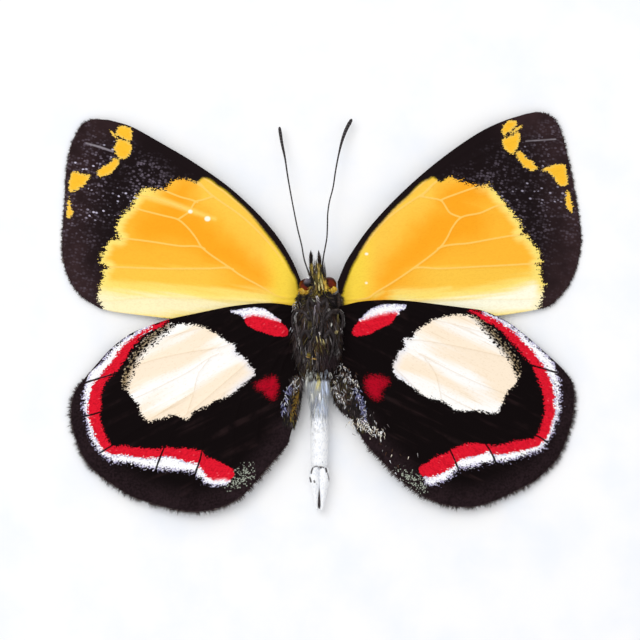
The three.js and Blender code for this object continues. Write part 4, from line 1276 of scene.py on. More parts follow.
    def back(self) -> Material:
        """The upper side, which lies on the surface: cream with a black border."""
        shader = Shader("hindwing_upperside")
        height, pick, stray = self.coat.lay(shader, self.turn)
        pale = shader.mix(rgb(250, 245, 230), rgb(226, 214, 184), pick * 0.6)
        pale = pale.mix(rgb(180, 172, 156), shader["vein"].step(0.1, 0.04) * 0.5)
        border = (shader["rim"] + stray * 2.0).step(3.3, 3.9)
        return self.coat.finish(shader, shader.mix(self.outer, pale, border), height)


@dataclass(frozen=True)
class HairFinish:
    """Hairs that hold their own colour, with a dry sheen."""

    name: str
    roughness: float = 0.6
    gloss: float = 0.12

    def make(self) -> Material:
        """Makes the material."""
        shader = Shader(self.name)
        tone = shader.noise(shader.place(), 9.0, 2.0)
        colour = shader[HAIR_COLOUR]
        dusty = colour.mix(rgb(120, 114, 110), tone.step(0.6, 0.85) * 0.12)
        return shader.finish(dusty, self.roughness, self.gloss)


# Studio


@dataclass
class Studio:
    """A pale floor under even light, seen from straight above."""

    frame_side: float = 640 * STEP
    centre: Point2 = (0.0, 10 * STEP)
    distance: float = 0.5
    sensor: float = 36.0
    floor_side: float = 3.0
    floor_drop: float = 0.02 * MM
    world_light: float = 0.76
    lamp_power: float = 0.98
    lamp_side: float = 0.35
    lamp_place: Point3 = (-0.17, 0.2, 0.42)

    def camera(self) -> None:
        """Looks straight down with a long lens, +Y up in the picture."""
        data = bpy.data.cameras.new("camera")
        data.sensor_width = self.sensor
        data.lens = self.sensor * self.distance / self.frame_side
        data.clip_start = 0.01
        data.clip_end = 20.0
        camera = bpy.data.objects.new("camera", data)
        camera.location = (*self.centre, self.distance + 1.0 * MM)
        bpy.context.scene.collection.objects.link(camera)
        bpy.context.scene.camera = camera

    def floor(self) -> None:
        """A matte white floor, which is no part of the specimen."""
        half = self.floor_side / 2
        corners = np.array([(-half, -half, -self.floor_drop), (half, -half, -self.floor_drop),
                            (half, half, -self.floor_drop), (-half, half, -self.floor_drop)])
        parts = MeshParts()
        parts.add(corners, np.array([(0, 1, 2), (0, 2, 3)]))
        floor = parts.build("floor", smooth=False)
        shader = Shader("floor_white")
        mottle = shader.noise(shader.place(), 0.16, 4.0)
        colour = shader.mix(rgb(252, 252, 253), rgb(244, 247, 253), mottle.step(0.35, 0.75))
        floor.data.materials.append(shader.finish(colour, 0.9, 0.0))
        floor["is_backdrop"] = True

    def light(self) -> None:
        """An even white surround and one large soft lamp from the upper left."""
        scene = bpy.context.scene
        scene.world = bpy.data.worlds.new("surround")
        scene.world.use_nodes = True
        surround = scene.world.node_tree.nodes["Background"]
        surround.inputs[0].default_value = (1.0, 1.0, 1.0, 1.0)
        surround.inputs[1].default_value = self.world_light
        data = bpy.data.lights.new("lamp", "AREA")
        data.size = self.lamp_side
        data.energy = self.lamp_power
        lamp = bpy.data.objects.new("lamp", data)
        lamp.location = self.lamp_place
        lamp.rotation_euler = (-Vector(self.lamp_place)).to_track_quat("-Z", "Y").to_euler()
        scene.collection.objects.link(lamp)
        scene.view_settings.view_transform = "Standard"


@dataclass(frozen=True)
class CoreFinish:
    """The dry skin under a coat of hair, or a bare tongue or foot."""

    name: str
    dark: Colour
    light: Colour
    roughness: float = 0.55
    gloss: float = 0.3
    grain: float = 6.0

    def make(self) -> Material:
        """Makes the material."""
        shader = Shader(self.name)
        patchy = shader.noise(shader.place(), self.grain, 4.0, 0.6)
        colour = shader.mix(self.dark, self.light, patchy.step(0.4, 0.7))
        shader.bump(patchy, 0.03 * MM, 0.5)
        return shader.finish(colour, self.roughness, self.gloss)


@dataclass(frozen=True)
class EyeFinish:
    """A glossy red-brown eye of fine facets."""

    dark: Colour = rgb(44, 9, 3)
    light: Colour = rgb(104, 30, 8)
    facets: float = 16.0  # in a millimetre

    def make(self) -> Material:
        """Makes the material."""
        shader = Shader("eye_facets")
        height, pick = shader.cells(shader.place(), self.facets)
        cloudy = shader.noise(shader.place(), 1.6, 2.0)
        colour = shader.mix(self.dark, self.light, cloudy.step(0.35, 0.7))
        colour = colour.mix(self.light, pick.step(0.7, 1.0) * 0.3)
        shader.bump(1 - height, 0.006 * MM, 0.5)
        return shader.finish(colour, 0.3, 0.12)


@dataclass(frozen=True)
class AntennaFinish:
    """Black scales with a thin pale ring between the joints."""

    joints_per_mm: float = 3.2

    def make(self) -> Material:
        """Makes the material."""
        shader = Shader("antenna_joints")
        along = shader["along"]
        wave = (along * self.joints_per_mm * 2 * math.pi).sine()
        fine = shader.noise(shader.place(), 14.0, 2.0)
        colour = shader.mix(rgb(22, 17, 19), rgb(48, 40, 42), fine.step(0.4, 0.7))
        colour = colour.mix(rgb(150, 146, 146), wave.step(0.86, 1.0) * fine.step(0.3, 0.6) * 0.6)
        shader.bump(wave, 0.02 * MM, 0.6)
        return shader.finish(colour, 0.5, 0.25)


@dataclass(frozen=True)
class AbdomenFinish:
    """Laid white scales, bluish grey in front, with dark specks, and a dark slit behind that is painted
    shade.
    """

    white: Colour = rgb(252, 253, 255)
    shade: Colour = rgb(206, 214, 228)
    grey: Colour = rgb(138, 142, 156)
    yellow: Colour = rgb(226, 208, 120)
    front_y: float = -4.6  # millimetres, where the grey front begins and ends
    white_y: float = -8.6

    def make(self) -> Material:
        """Makes the material."""
        shader = Shader("abdomen_scales")
        where = shader.place()
        height, pick = shader.cells(shader.place((11.0, 5.0, 8.0)), 1.0)
        y = shader.axis(where, 1)
        x = shader.axis(where, 0)
        streaky = shader.noise(shader.place((7.0, 0.8, 3.0)), 1.0, 3.0)
        colour = shader.mix(self.white, self.shade, pick.step(0.5, 1.0) * 0.5)
        front = (y + (streaky - 0.5) * 2.4).step(self.white_y, self.front_y)
        colour = colour.mix(shader.mix(self.grey, self.shade, streaky.step(0.4, 0.65)), front)
        midline = (x + 0.22).step(0.0, 0.12) * (x - 0.02).step(0.1, 0.0) * y.step(-6.9, -6.2)
        colour = colour.mix(self.yellow, midline * 0.7)
        specks = (pick + shader.noise(where, 2.2) * 0.03).step(1.0, 1.012)
        colour = colour.mix(rgb(140, 138, 142), specks * 0.5)
        # Dark marks: specks, and in the slit between the valves painted shade.
        colour = colour.mix(rgb(58, 50, 54), shader["mark"])
        shader.bump(1 - height, 0.015 * MM, 0.6)
        return shader.finish(colour, 0.7, 0.25)


@dataclass(frozen=True)
class LegFinish:
    """Grey-white scales over a dark shin."""

    def make(self) -> Material:
        """Makes the material."""
        shader = Shader("leg_scales")
        height, pick = shader.cells(shader.place(), 15.0)
        worn = shader.noise(shader.place(), 3.0, 3.0)
        colour = shader.mix(rgb(36, 30, 30), rgb(72, 65, 68), pick)
        colour = colour.mix(rgb(30, 23, 24), worn.step(0.36, 0.54))
        shader.bump(1 - height, 0.008 * MM, 0.4)
        return shader.finish(colour, 0.65, 0.25)


# Body


THORAX_AXIS_X = -2.5 * STEP
THORAX_MIDDLE_Z = 2.0 * MM
THORAX_STATIONS = [  # y and half-width in plan steps, rise and drop in millimetres
    (34, 10, 0.9, 0.9), (30, 15.5, 1.3, 1.4), (24, 19, 1.65, 1.85), (15, 23.5, 2.0, 2.15), (5, 26, 2.2, 2.25),
    (-6, 27, 2.3, 2.25), (-17, 26, 2.2, 2.2), (-27, 23.5, 1.95, 2.14), (-35, 19, 1.6, 1.8),
    (-41, 14, 1.2, 1.3), (-44, 9, 0.8, 0.8)]
Patch = tuple[Point2, float, Palette]  # sheet place, radius in steps, palette
Lock = tuple[float, float, float, float, float, Colour]  # first and last x and y on the sheet, width, colour
Trail = tuple[Sequence[Point2], float, int, Palette]  # path, spread, hairs, palette

LOCK_TABLE = 4096  # drawn colours, which locks take by their place
LOCK_WIDTH = 0.2 * MM
LOCK_LENGTH = 1.1 * MM
SINGLE_SHARE = 0.4  # of the hairs have a colour of their own

HAIR_BLACK = rgb(20, 14, 15)
HAIR_DARK = rgb(48, 40, 40)
HAIR_GREY = rgb(84, 76, 77)
HAIR_ASH = rgb(146, 142, 142)
HAIR_WHITE = rgb(226, 226, 232)
HAIR_OLIVE = rgb(92, 82, 42)
HAIR_YELLOW = rgb(206, 178, 84)
HAIR_TAN = rgb(178, 156, 112)
HAIR_BROWN = rgb(66, 44, 30)


@dataclass
class Loft:
    """A body along Y: rings whose middle, half-width, rise and drop change from station to station."""

    stations: Array  # x, y, z, half-width, rise and drop of each ring, in metres
    floor: float = -1.0

    def rings(self, sides: int) -> Array:
        """Its rings of points."""
        angles = np.linspace(0, 2 * math.pi, sides, endpoint=False)
        return np.stack([self.surface(station, angles) for station in self.stations])

    def surface(self, station: Array, angles: Array) -> Array:
        """The points of one station's ring at angles from +X towards +Z."""
        x, y, z, half_width, rise, drop = station
        height = np.sin(angles) * np.where(np.sin(angles) > 0, rise, drop)
        return np.stack([x + np.cos(angles) * half_width, np.full_like(angles, y),
                         np.maximum(z + height, self.floor)], axis=-1)

    def scatter(self, rng: np.random.Generator, count: int, low: float, high: float,
                inset: float = 1.0) -> tuple[Array, Array]:
        """Random places on it.

        Args:
            rng: The source of chance.
            count: How many.
            low: The lowest angle from +X towards +Z.
            high: The highest angle.
            inset: The size of the body that they lie on, as a share of this one.

        Returns:
            The places, and the directions away from its axis there.
        """
        at = rng.uniform(0, len(self.stations) - 1, count)
        index = np.minimum(at.astype(int), len(self.stations) - 2)
        share = (at - index)[:, None]
        station = self.stations[index] * (1 - share) + self.stations[index + 1] * share
        angle = rng.uniform(low, high, count)
        x, y, z, half_width, rise, drop = station.T
        rise = np.where(np.sin(angle) > 0, rise, drop)
        places = stack(x + np.cos(angle) * half_width * inset, y,
                       np.maximum(z + np.sin(angle) * rise * inset, self.floor))
        return places, unit(stack(np.cos(angle) / half_width, 0.0, np.sin(angle) / rise))


def thorax_height(aside: float, y: float) -> float:
    """The height of the thorax in metres, at a distance from its middle line and a y in plan steps."""
    half = float(value_at([(row[0], row[1]) for row in THORAX_STATIONS], y))
    rise = float(value_at([(row[0], row[2]) for row in THORAX_STATIONS], y)) * MM
    across = min(abs(aside) / half, 0.92)
    return THORAX_MIDDLE_Z + rise * math.sqrt(1 - across * across)


def coat_height(x: float, y: float) -> float:
    """The height in metres at which the coat of hair ends, over a place on the plan."""
    steps_y = min(max(y / STEP, -44.0), 34.0)
    aside = (x - THORAX_AXIS_X) / STEP
    half = float(value_at([(row[0], row[1]) for row in THORAX_STATIONS], steps_y))
    if y / STEP > 30:
        return float(value_at([(30, 3.3), (47, 3.62), (79, 2.9)], y / STEP)) * MM
    if abs(aside) < half and y / STEP > -44:
        return thorax_height(aside, steps_y) + 0.16 * MM
    beside = float(membrane_height(np.array([x]), np.array([y]), True)[0]) + 0.3 * MM
    return max(beside, 2.9 * MM) if abs(aside) < 12 else beside


def add_locks(blades: Blades, locks: Sequence[Lock], height: Callable[[float, float], float],
              mixed: float = 0.0) -> None:
    """Adds locks of hair, each of hairs that start and end raggedly between two places.

    Args:
        blades: The hairs.
        locks: Each lock's first and last place on the sheet, its width in steps and its colour.
        height: The height at which they lie, over a place on the plan.
        mixed: The share of dark hairs among them.
    """
    rng = blades.rng
    for *ends, width, colour in locks:
        start, end = on_plan(path(*ends))
        length = np.linalg.norm(end - start)
        along = (end - start) / length
        side = np.array([-along[1], along[0]])
        count = max(5, int(width * 4))
        begin = start + side * rng.uniform(-0.5, 0.5, count)[:, None] * width * STEP
        begin += along * rng.uniform(-0.06, 0.2, count)[:, None] * length
        tips = begin + along * rng.uniform(0.6, 0.95, count)[:, None] * length
        tips += side * rng.normal(0, 0.09 * MM, count)[:, None]
        roots = np.column_stack([begin, [height(x, y) for x, y in begin]])
        ahead = np.column_stack([tips, [height(x, y) for x, y in tips]]) - roots
        tints = blades.pick([(colour, 1.0 - mixed), (HAIR_DARK, mixed)], count, 0.2)
        blades.add(roots, ahead, np.linalg.norm(ahead, axis=1), rng.uniform(0.035, 0.055, count) * MM,
                   tints, droop=0.0)


def add_flecks(blades: Blades, trails: Sequence[Trail]) -> None:
    """Adds short loose hairs scattered along paths over the hindwings."""
    rng = blades.rng
    for trail, spread, count, palette in trails:
        line = smooth_path(on_plan(trail), 0.05 * MM)
        places = line[rng.integers(0, len(line), count)] + rng.normal(0, spread * STEP, (count, 2))
        height = membrane_height(places[:, 0], places[:, 1], True) + rng.uniform(0.22, 0.34, count) * MM
        ahead = stack(rng.normal(0.0, 0.5, count), rng.normal(-0.8, 0.35, count),
                      rng.uniform(0.0, 0.12, count))
        blades.add(np.column_stack([places, height]), ahead, rng.uniform(0.2, 0.5, count) * MM,
                   rng.uniform(0.05, 0.1, count) * MM, blades.pick(palette, count), droop=0.1)


def colours_by_place(blades: Blades, places: Array, palette: Palette, patches: Sequence[Patch]) -> Array:
    """Draws the colours of hairs by lock, with another palette inside each patch of the sheet.

    Args:
        blades: The hairs, which draw the colours.
        places: Where they grow.
        palette: The palette outside all patches.
        patches: The patches.

    Returns:
        A colour for each hair.
    """
    table = blades.pick(palette, LOCK_TABLE)
    column = np.floor(places[:, 0] / LOCK_WIDTH).astype(int) + 512
    row = np.floor(places[:, 1] / LOCK_LENGTH + (column * 0.618) % 1).astype(int) + 512
    colours = table[(column * 193 + row * 1031) % LOCK_TABLE]
    single = blades.rng.uniform(0, 1, len(places)) < SINGLE_SHARE
    colours[single] = blades.pick(palette, int(single.sum()))
    for spot, radius, own in patches:
        away = np.linalg.norm(places[:, :2] - on_plan([spot])[0], axis=1) / STEP
        within = away + blades.rng.normal(0, radius * 0.2, len(places)) < radius
        colours[within] = blades.pick(own, int(within.sum()))
    return colours


@dataclass
class Thorax:
    """The middle body: a dry core under long hair that lies back along it."""

    core: Material
    hair: Material
    hairs: int = 15000
    hair_length: float = 1.15 * MM
    hair_width: float = 0.055 * MM
    core_share: float = 0.86
    collar_hairs: int = 5200
    seed: int = 31

    def loft(self, share: float) -> Loft:
        """Its form at a share of its full width and height."""
        rough = np.array([(THORAX_AXIS_X, y * STEP, THORAX_MIDDLE_Z, half * STEP * share, rise * MM * share,
                           drop * MM) for y, half, rise, drop in THORAX_STATIONS])
        return Loft(smooth_path(rough, 0.12 * MM), floor=0.0)

    def build(self) -> None:
        """Makes the core and its coat of hair in place of the solid."""
        parts = MeshParts()
        parts.add(*skin(self.loft(self.core_share).rings(48)))
        for x in (-19.0, 18.5):
            parts.add(*egg((x * STEP, 28.5 * STEP, 1.55 * MM), (4 * STEP, 9 * STEP, 0.4 * MM), 32, 20))
        parts.finish("thorax_core", self.core, "body_hair", "thorax")
        rng = np.random.default_rng(self.seed)
        blades = Blades(rng)
        roots, away = self.loft(self.core_share).scatter(rng, self.hairs, -0.75, math.pi + 0.75, 0.99)
        back = stack(rng.normal(0, 0.2, self.hairs), -1.0, 0.0)
        ahead = back + away * rng.uniform(0.16, 0.5, self.hairs)[:, None]
        lengths = self.hair_length * rng.uniform(0.5, 1.25, self.hairs)
        lengths *= 1 - 0.45 * value_at([(2.6 * MM, 0.0), (3.5 * MM, 1.0)], roots[:, 1])
        lengths *= 1 - 0.2 * value_at([(-4.6 * MM, 1.0), (-2.8 * MM, 0.0)], roots[:, 1])
        colours = colours_by_place(blades, roots, self.palette(), self.patches())
        widths = self.hair_width * rng.uniform(0.6, 1.3, self.hairs)
        blades.add(roots, ahead, lengths, widths, colours, away, droop=0.16)
        self.add_collar(blades)
        add_locks(blades, self.locks(), coat_height, 0.35)
        blades.parts.finish("thorax_hair", self.hair, "body_hair")

    def add_collar(self, blades: Blades) -> None:
        """Adds the short dark hair of the neck and of the shoulders, up to the wings."""
        count = self.collar_hairs
        rng = blades.rng
        x = rng.uniform(-23.5, 22.5, count) * STEP
        beside = smoothstep(np.abs(x - THORAX_AXIS_X), 12 * STEP, 20 * STEP)
        y = (20 + rng.uniform(0, 1, count) * (22 - 7 * smoothstep(np.abs(x), 6 * STEP, 12 * STEP))) * STEP
        z = (2.75 - 1.1 * beside + rng.uniform(-0.3, 0.15, count)) * MM
        ahead = stack(np.sign(x) * 0.5 + rng.normal(0, 0.3, count), rng.normal(-0.5, 0.4, count),
                      rng.uniform(0.0, 0.35, count))
        roots = stack(x * 0.93, y, z)
        palette = [(HAIR_BLACK, 0.45), (HAIR_DARK, 0.3), (HAIR_OLIVE, 0.12), (HAIR_GREY, 0.13)]
        colours = colours_by_place(blades, roots, palette, self.patches())
        blades.add(roots, ahead, rng.uniform(0.3, 0.6, count) * MM, 0.065 * MM, colours, droop=0.15)

    def palette(self) -> Palette:
        """The hair all over: dark, with grey and olive."""
        return [(HAIR_BLACK, 0.42), (HAIR_DARK, 0.24), (HAIR_GREY, 0.14), (HAIR_OLIVE, 0.06),
                (HAIR_BROWN, 0.1), (HAIR_ASH, 0.04)]

    def patches(self) -> list[Patch]:
        """Places where the hair is of other colours."""
        return [((296, 326), 6, [(HAIR_GREY, 0.6), (HAIR_DARK, 0.4)]),
                ((309, 316), 5, [(HAIR_OLIVE, 0.5), (HAIR_DARK, 0.5)]),
                ((331, 306), 4, [(HAIR_BLACK, 1.0)]),
                ((318, 341), 6, [(HAIR_BROWN, 0.4), (HAIR_BLACK, 0.3), (HAIR_OLIVE, 0.3)]),
                ((329, 356), 8, [(rgb(52, 38, 42), 0.7), (HAIR_BLACK, 0.3)]),
                ((316, 296), 4, [(HAIR_OLIVE, 0.5), (HAIR_TAN, 0.2), (HAIR_BROWN, 0.3)]),
                ((308, 370), 6, [(HAIR_BROWN, 0.4), (HAIR_OLIVE, 0.3), (HAIR_DARK, 0.3)])]

    def locks(self) -> list[Lock]:
        """The locks that stand out, front to back; a few pale ones are painted glints."""
        silver = rgb(150, 140, 150)
        pale = rgb(206, 200, 200)
        gold = rgb(196, 156, 80)
        straw = rgb(178, 164, 112)
        olive_grey = rgb(186, 190, 168)
        return [(311, 300, 316, 302, 3, olive_grey), (316.5, 296, 318.5, 302, 1.8, pale),
                (318.5, 300, 320.5, 305, 1.2, pale), (319, 299, 317.5, 313, 2.4, rgb(96, 86, 94)),
                (317.5, 312, 316.5, 330, 2, rgb(84, 76, 82)), (315.5, 305, 314, 318, 1.6, silver),
                (314, 316, 314, 328, 1.4, rgb(112, 106, 100)), (307.5, 299, 308.5, 313, 2.6, HAIR_OLIVE),
                (308.5, 312, 310, 326, 2.4, HAIR_OLIVE), (304.4, 311, 304.8, 321, 1.7, silver),
                (304.9, 320, 305, 332, 1.3, silver), (299, 301, 302, 308, 1.4, HAIR_ASH),
                (293, 305, 295, 313, 1.2, rgb(184, 170, 150)), (297.3, 304, 298, 310, 1.3, HAIR_TAN),
                (295, 313, 296, 325, 1.5, HAIR_ASH), (296, 324, 298, 335, 1.6, HAIR_GREY),
                (327.5, 308, 329.5, 313, 2.2, HAIR_ASH), (329, 312.5, 337, 313.5, 1.8, HAIR_GREY),
                (340, 310, 343.5, 316, 1.5, HAIR_ASH), (343.5, 315, 344.4, 324, 1.4, HAIR_ASH),
                # The locks at 331.3, 323 and 337, 330 on the sheet are painted glints on the hair.
                (344.4, 323, 343.4, 329, 1.2, HAIR_ASH), (331.3, 323, 330, 327, 2, rgb(214, 214, 208)),
                (337, 330, 335, 334.5, 2.4, straw), (341, 328, 341.4, 334, 2, pale),
                (338, 314, 338, 327, 1.5, HAIR_OLIVE), (319.2, 332, 319.8, 337, 1.6, pale),
                (316.3, 336, 318, 345, 1.6, straw), (320, 336, 321.6, 346, 1.4, straw),
                (323, 339, 324.2, 346, 1.4, straw), (326.5, 334, 326.7, 345, 1.2, HAIR_ASH),
                (310, 340, 310.5, 350, 1.6, HAIR_GREY), (306, 356.5, 311.5, 358.5, 2.2, gold),
                (311, 358.2, 317.5, 359.5, 1.8, gold), (307, 354.5, 312, 355, 3, rgb(120, 104, 34)),
                (314.6, 350, 317, 358, 1.4, gold), (300.6, 356, 300.2, 369, 1.3, HAIR_GREY),
                # The tan lock at 303.4, 368 and the lock at 343, 348 on the sheet are painted glints.
                (297, 358, 297.5, 367, 1.2, HAIR_GREY), (303.4, 368, 305, 371, 2, HAIR_TAN),
                (312.5, 361, 313, 367, 1.6, HAIR_ASH), (338.6, 350, 337.6, 357, 1.7, HAIR_ASH),
                (337.6, 356, 337, 361, 1.4, HAIR_GREY), (343, 348, 343.3, 351, 1.3, HAIR_ASH),
                (312, 369, 313, 375, 1.4, HAIR_ASH)]


@dataclass
class Abdomen:
    """The hind body: seven rings of white scales, hairy where it joins the thorax."""

    scales: Material
    hair: Material
    front: float = -46.5  # plan steps
    rear: float = -138.0
    segments: int = 7
    groove: float = 0.93
    depth: float = 1.12
    hairs: int = 2600
    seed: int = 41

    def loft(self) -> Loft:
        """Its form, with a groove between rings."""
        y = np.linspace(self.front, self.rear, 121)
        within = (y - self.front) / (self.rear - self.front) * self.segments % 1
        swell = self.groove + (1 - self.groove) * np.sin(math.pi * np.clip(within, 0.001, 1)) ** 0.35
        radius = value_at([(-46, 9.5), (-52, 11), (-62, 10), (-75, 8.9), (-86, 8.3), (-98, 8.8), (-112, 9),
                           (-135, 8.2)], y) * swell * STEP
        radius[0] *= 0.6
        radius[-6:] *= np.linspace(0.97, 0.5, 6) ** 0.5
        x = value_at([(-46, -1.6), (-66, -0.8), (-90, -0.6), (-135, -0.6)], y) * STEP
        z = value_at([(-46, 1.75), (-90, 1.4), (-135, 1.25)], y) * MM
        return Loft(stack(x, y * STEP, z, radius, radius * self.depth, radius * self.depth))

    def top(self, y: float) -> float:
        """The height of its upper side at a y."""
        profile = [(-46, 3.0), (-62, 2.95), (-75, 2.75), (-86, 2.45), (-110, 2.4)]
        return float(value_at(profile, y / STEP)) * MM

    def build(self) -> None:
        """Makes the ringed body and the hair over its front, in place of the solid."""
        loft = self.loft()
        corners, faces = skin(loft.rings(40))
        parts = MeshParts()
        smudges = [(315, 429, 2.5), (318, 430, 2), (323, 428, 2.5), (312.5, 433, 1.6), (315, 440, 1.8)]
        smudged = ink(corners, [[(x, y, width), (x + 0.6, y + 2, width)] for x, y, width in smudges]) * 0.25
        parts.add(corners, faces, mark=np.maximum(smudged, ink(corners, VALVE_STROKES)))
        parts.finish("abdomen_rings", self.scales, "abdomen_scales", "abdomen")
        rng = np.random.default_rng(self.seed)
        blades = Blades(rng)
        forward = Loft(loft.stations[:64])
        roots, away = forward.scatter(rng, self.hairs, -0.3, math.pi + 0.3, 0.99)
        thinning = rng.uniform(0, 1, self.hairs) < value_at([(-9.2 * MM, 0.1), (-6.8 * MM, 1)], roots[:, 1])
        roots, away = roots[thinning], away[thinning]
        count = len(roots)
        ahead = stack(rng.normal(0, 0.14, count), -1.0, 0.0)
        ahead += away * rng.uniform(0.02, 0.2, count)[:, None]
        soft = rgb(196, 197, 190)
        palette = [(soft, 0.4), (rgb(206, 212, 222), 0.3), (rgb(168, 172, 182), 0.3)]
        patches: list[Patch] = [
            ((313, 374), 4, [(HAIR_DARK, 0.6), (HAIR_TAN, 0.4)]),
            ((315, 398), 5, [(rgb(152, 158, 176), 0.7), (soft, 0.3)]),
            ((325, 386), 5, [(rgb(186, 196, 216), 0.7), (HAIR_WHITE, 0.3)]),
            ((324, 404), 7, [(rgb(206, 218, 238), 0.5), (HAIR_WHITE, 0.5)])]
        colours = colours_by_place(blades, roots, palette, patches)
        lengths = rng.uniform(0.5, 1.1, count) * MM
        blades.add(roots, ahead, lengths, 0.05 * MM, colours, away, droop=0.06)
        blue = rgb(196, 208, 230)
        straw = rgb(220, 208, 136)
        add_locks(blades, [
            (319.5, 371, 318.8, 382, 2, straw), (318.6, 380, 317.8, 393, 2.6, straw),
            (324.5, 369, 325.5, 382, 2, blue), (325.5, 381, 327.5, 398, 2.2, blue),
            (321.8, 384, 322.5, 400, 1.6, blue), (322.5, 398, 321.5, 412, 2, blue),
            (319.3, 392, 319.8, 404, 2.2, rgb(250, 251, 255)), (312, 392, 312, 408, 2.5, soft),
            (308, 374, 306.5, 388, 3, soft), (314, 378, 312, 392, 2.4, rgb(172, 176, 172)),
            (322, 372, 322.3, 380, 1.5, HAIR_DARK), (328.5, 372, 330.5, 384, 2, HAIR_DARK)],
                  lambda x, y: self.top(y) + 0.07 * MM)
        add_locks(blades, [
            (307.5, 369, 306.5, 380, 3.5, soft), (311, 370.5, 310.5, 381, 3, rgb(172, 176, 172)),
            (315, 369.5, 315, 380, 2.5, soft), (318.5, 370, 318.5, 380, 2.5, straw),
            (321.5, 371, 321.5, 380, 2.5, rgb(172, 176, 182)), (326, 369, 326.5, 380, 3, blue),
            (330, 372, 330.5, 380, 1.8, soft)], lambda x, y: 3.42 * MM, 0.25)
        blades.parts.finish("abdomen_hair", self.hair, "abdomen_scales")


def ink(corners: Array, strokes: Sequence[Sequence[Sequence[float]]]) -> Array:
    """How dark fine strokes, drawn on the sheet, make each corner of a mesh."""
    depths = [band_depth(corners[:, :2], stroke) for stroke in strokes]
    return smoothstep(np.max(depths, axis=0), -0.05 * MM, 0.03 * MM)


VALVE_STROKES = (
    ((311.2, 473, 1.1), (312, 469.5, 1.4), (313, 467.5, 1)),
    ((314.2, 467, 0.7), (316.5, 465.8, 0.9), (318.5, 467, 0.7)),
    ((320, 466.6, 1.6), (320.8, 467.4, 1.6)), ((321.5, 466.4, 0.7), (324, 467.6, 0.7)),
    ((325.8, 468.3, 1.7), (326.6, 471.5, 1.7)), ((327.6, 473, 0.7), (328.8, 478, 0.7)),
    ((309.9, 477.5, 1.3), (311, 481.5, 1.5)), ((314.2, 480.5, 1.3), (314.6, 482, 1.3)),
    ((329, 478.5, 1), (329.6, 482, 1)))


@dataclass
class Claspers:
    """The two white valves at the tail, edged with dark specks, and the dark slit between them, painted
    shade.
    """

    scales: Material
    axis_x: float = -0.8 * STEP
    middle_z: float = 1.15 * MM
    depth: float = 1.6

    def build(self, name: str, side: int) -> None:
        """Makes one valve in place of its solid.

        Args:
            name: The solid's name.
            side: 1 for the left one, -1 for the right.
        """
        rough = np.array([(y, aside, half) for y, aside, half in [
            (-136, 4.1, 3.8), (-139, 4.5, 4.8), (-150, 4.8, 5.3), (-158, 4.2, 4.2), (-167, 3.4, 3),
            (-175, 2.9, 1.9), (-180, 2.2, 1)]]) * STEP
        y, aside, half = smooth_path(rough, 0.04 * MM).T
        blunt = np.minimum(1, 0.35 + np.linspace(0, 12, len(y)) ** 0.7)
        blunt[-1] = 0.5
        half = half * blunt
        rise = half * self.depth
        stations = stack(self.axis_x + side * aside, y, self.middle_z, half, rise, rise)
        corners, faces = skin(Loft(stations).rings(48))
        parts = MeshParts()
        parts.add(corners, faces, mark=ink(corners, VALVE_STROKES))
        # A dark egg fills the slit between the valves: painted shade in the gap.
        if side > 0:
            slit = (self.axis_x, -168 * STEP, 1.2 * MM)
            corners, faces = egg(slit, (1.7 * STEP, 11 * STEP, 0.3 * MM), 24, 16)
            parts.add(corners, faces, mark=np.ones(len(corners)))
        parts.finish(f"{name}_valve", self.scales, "abdomen_scales", name)


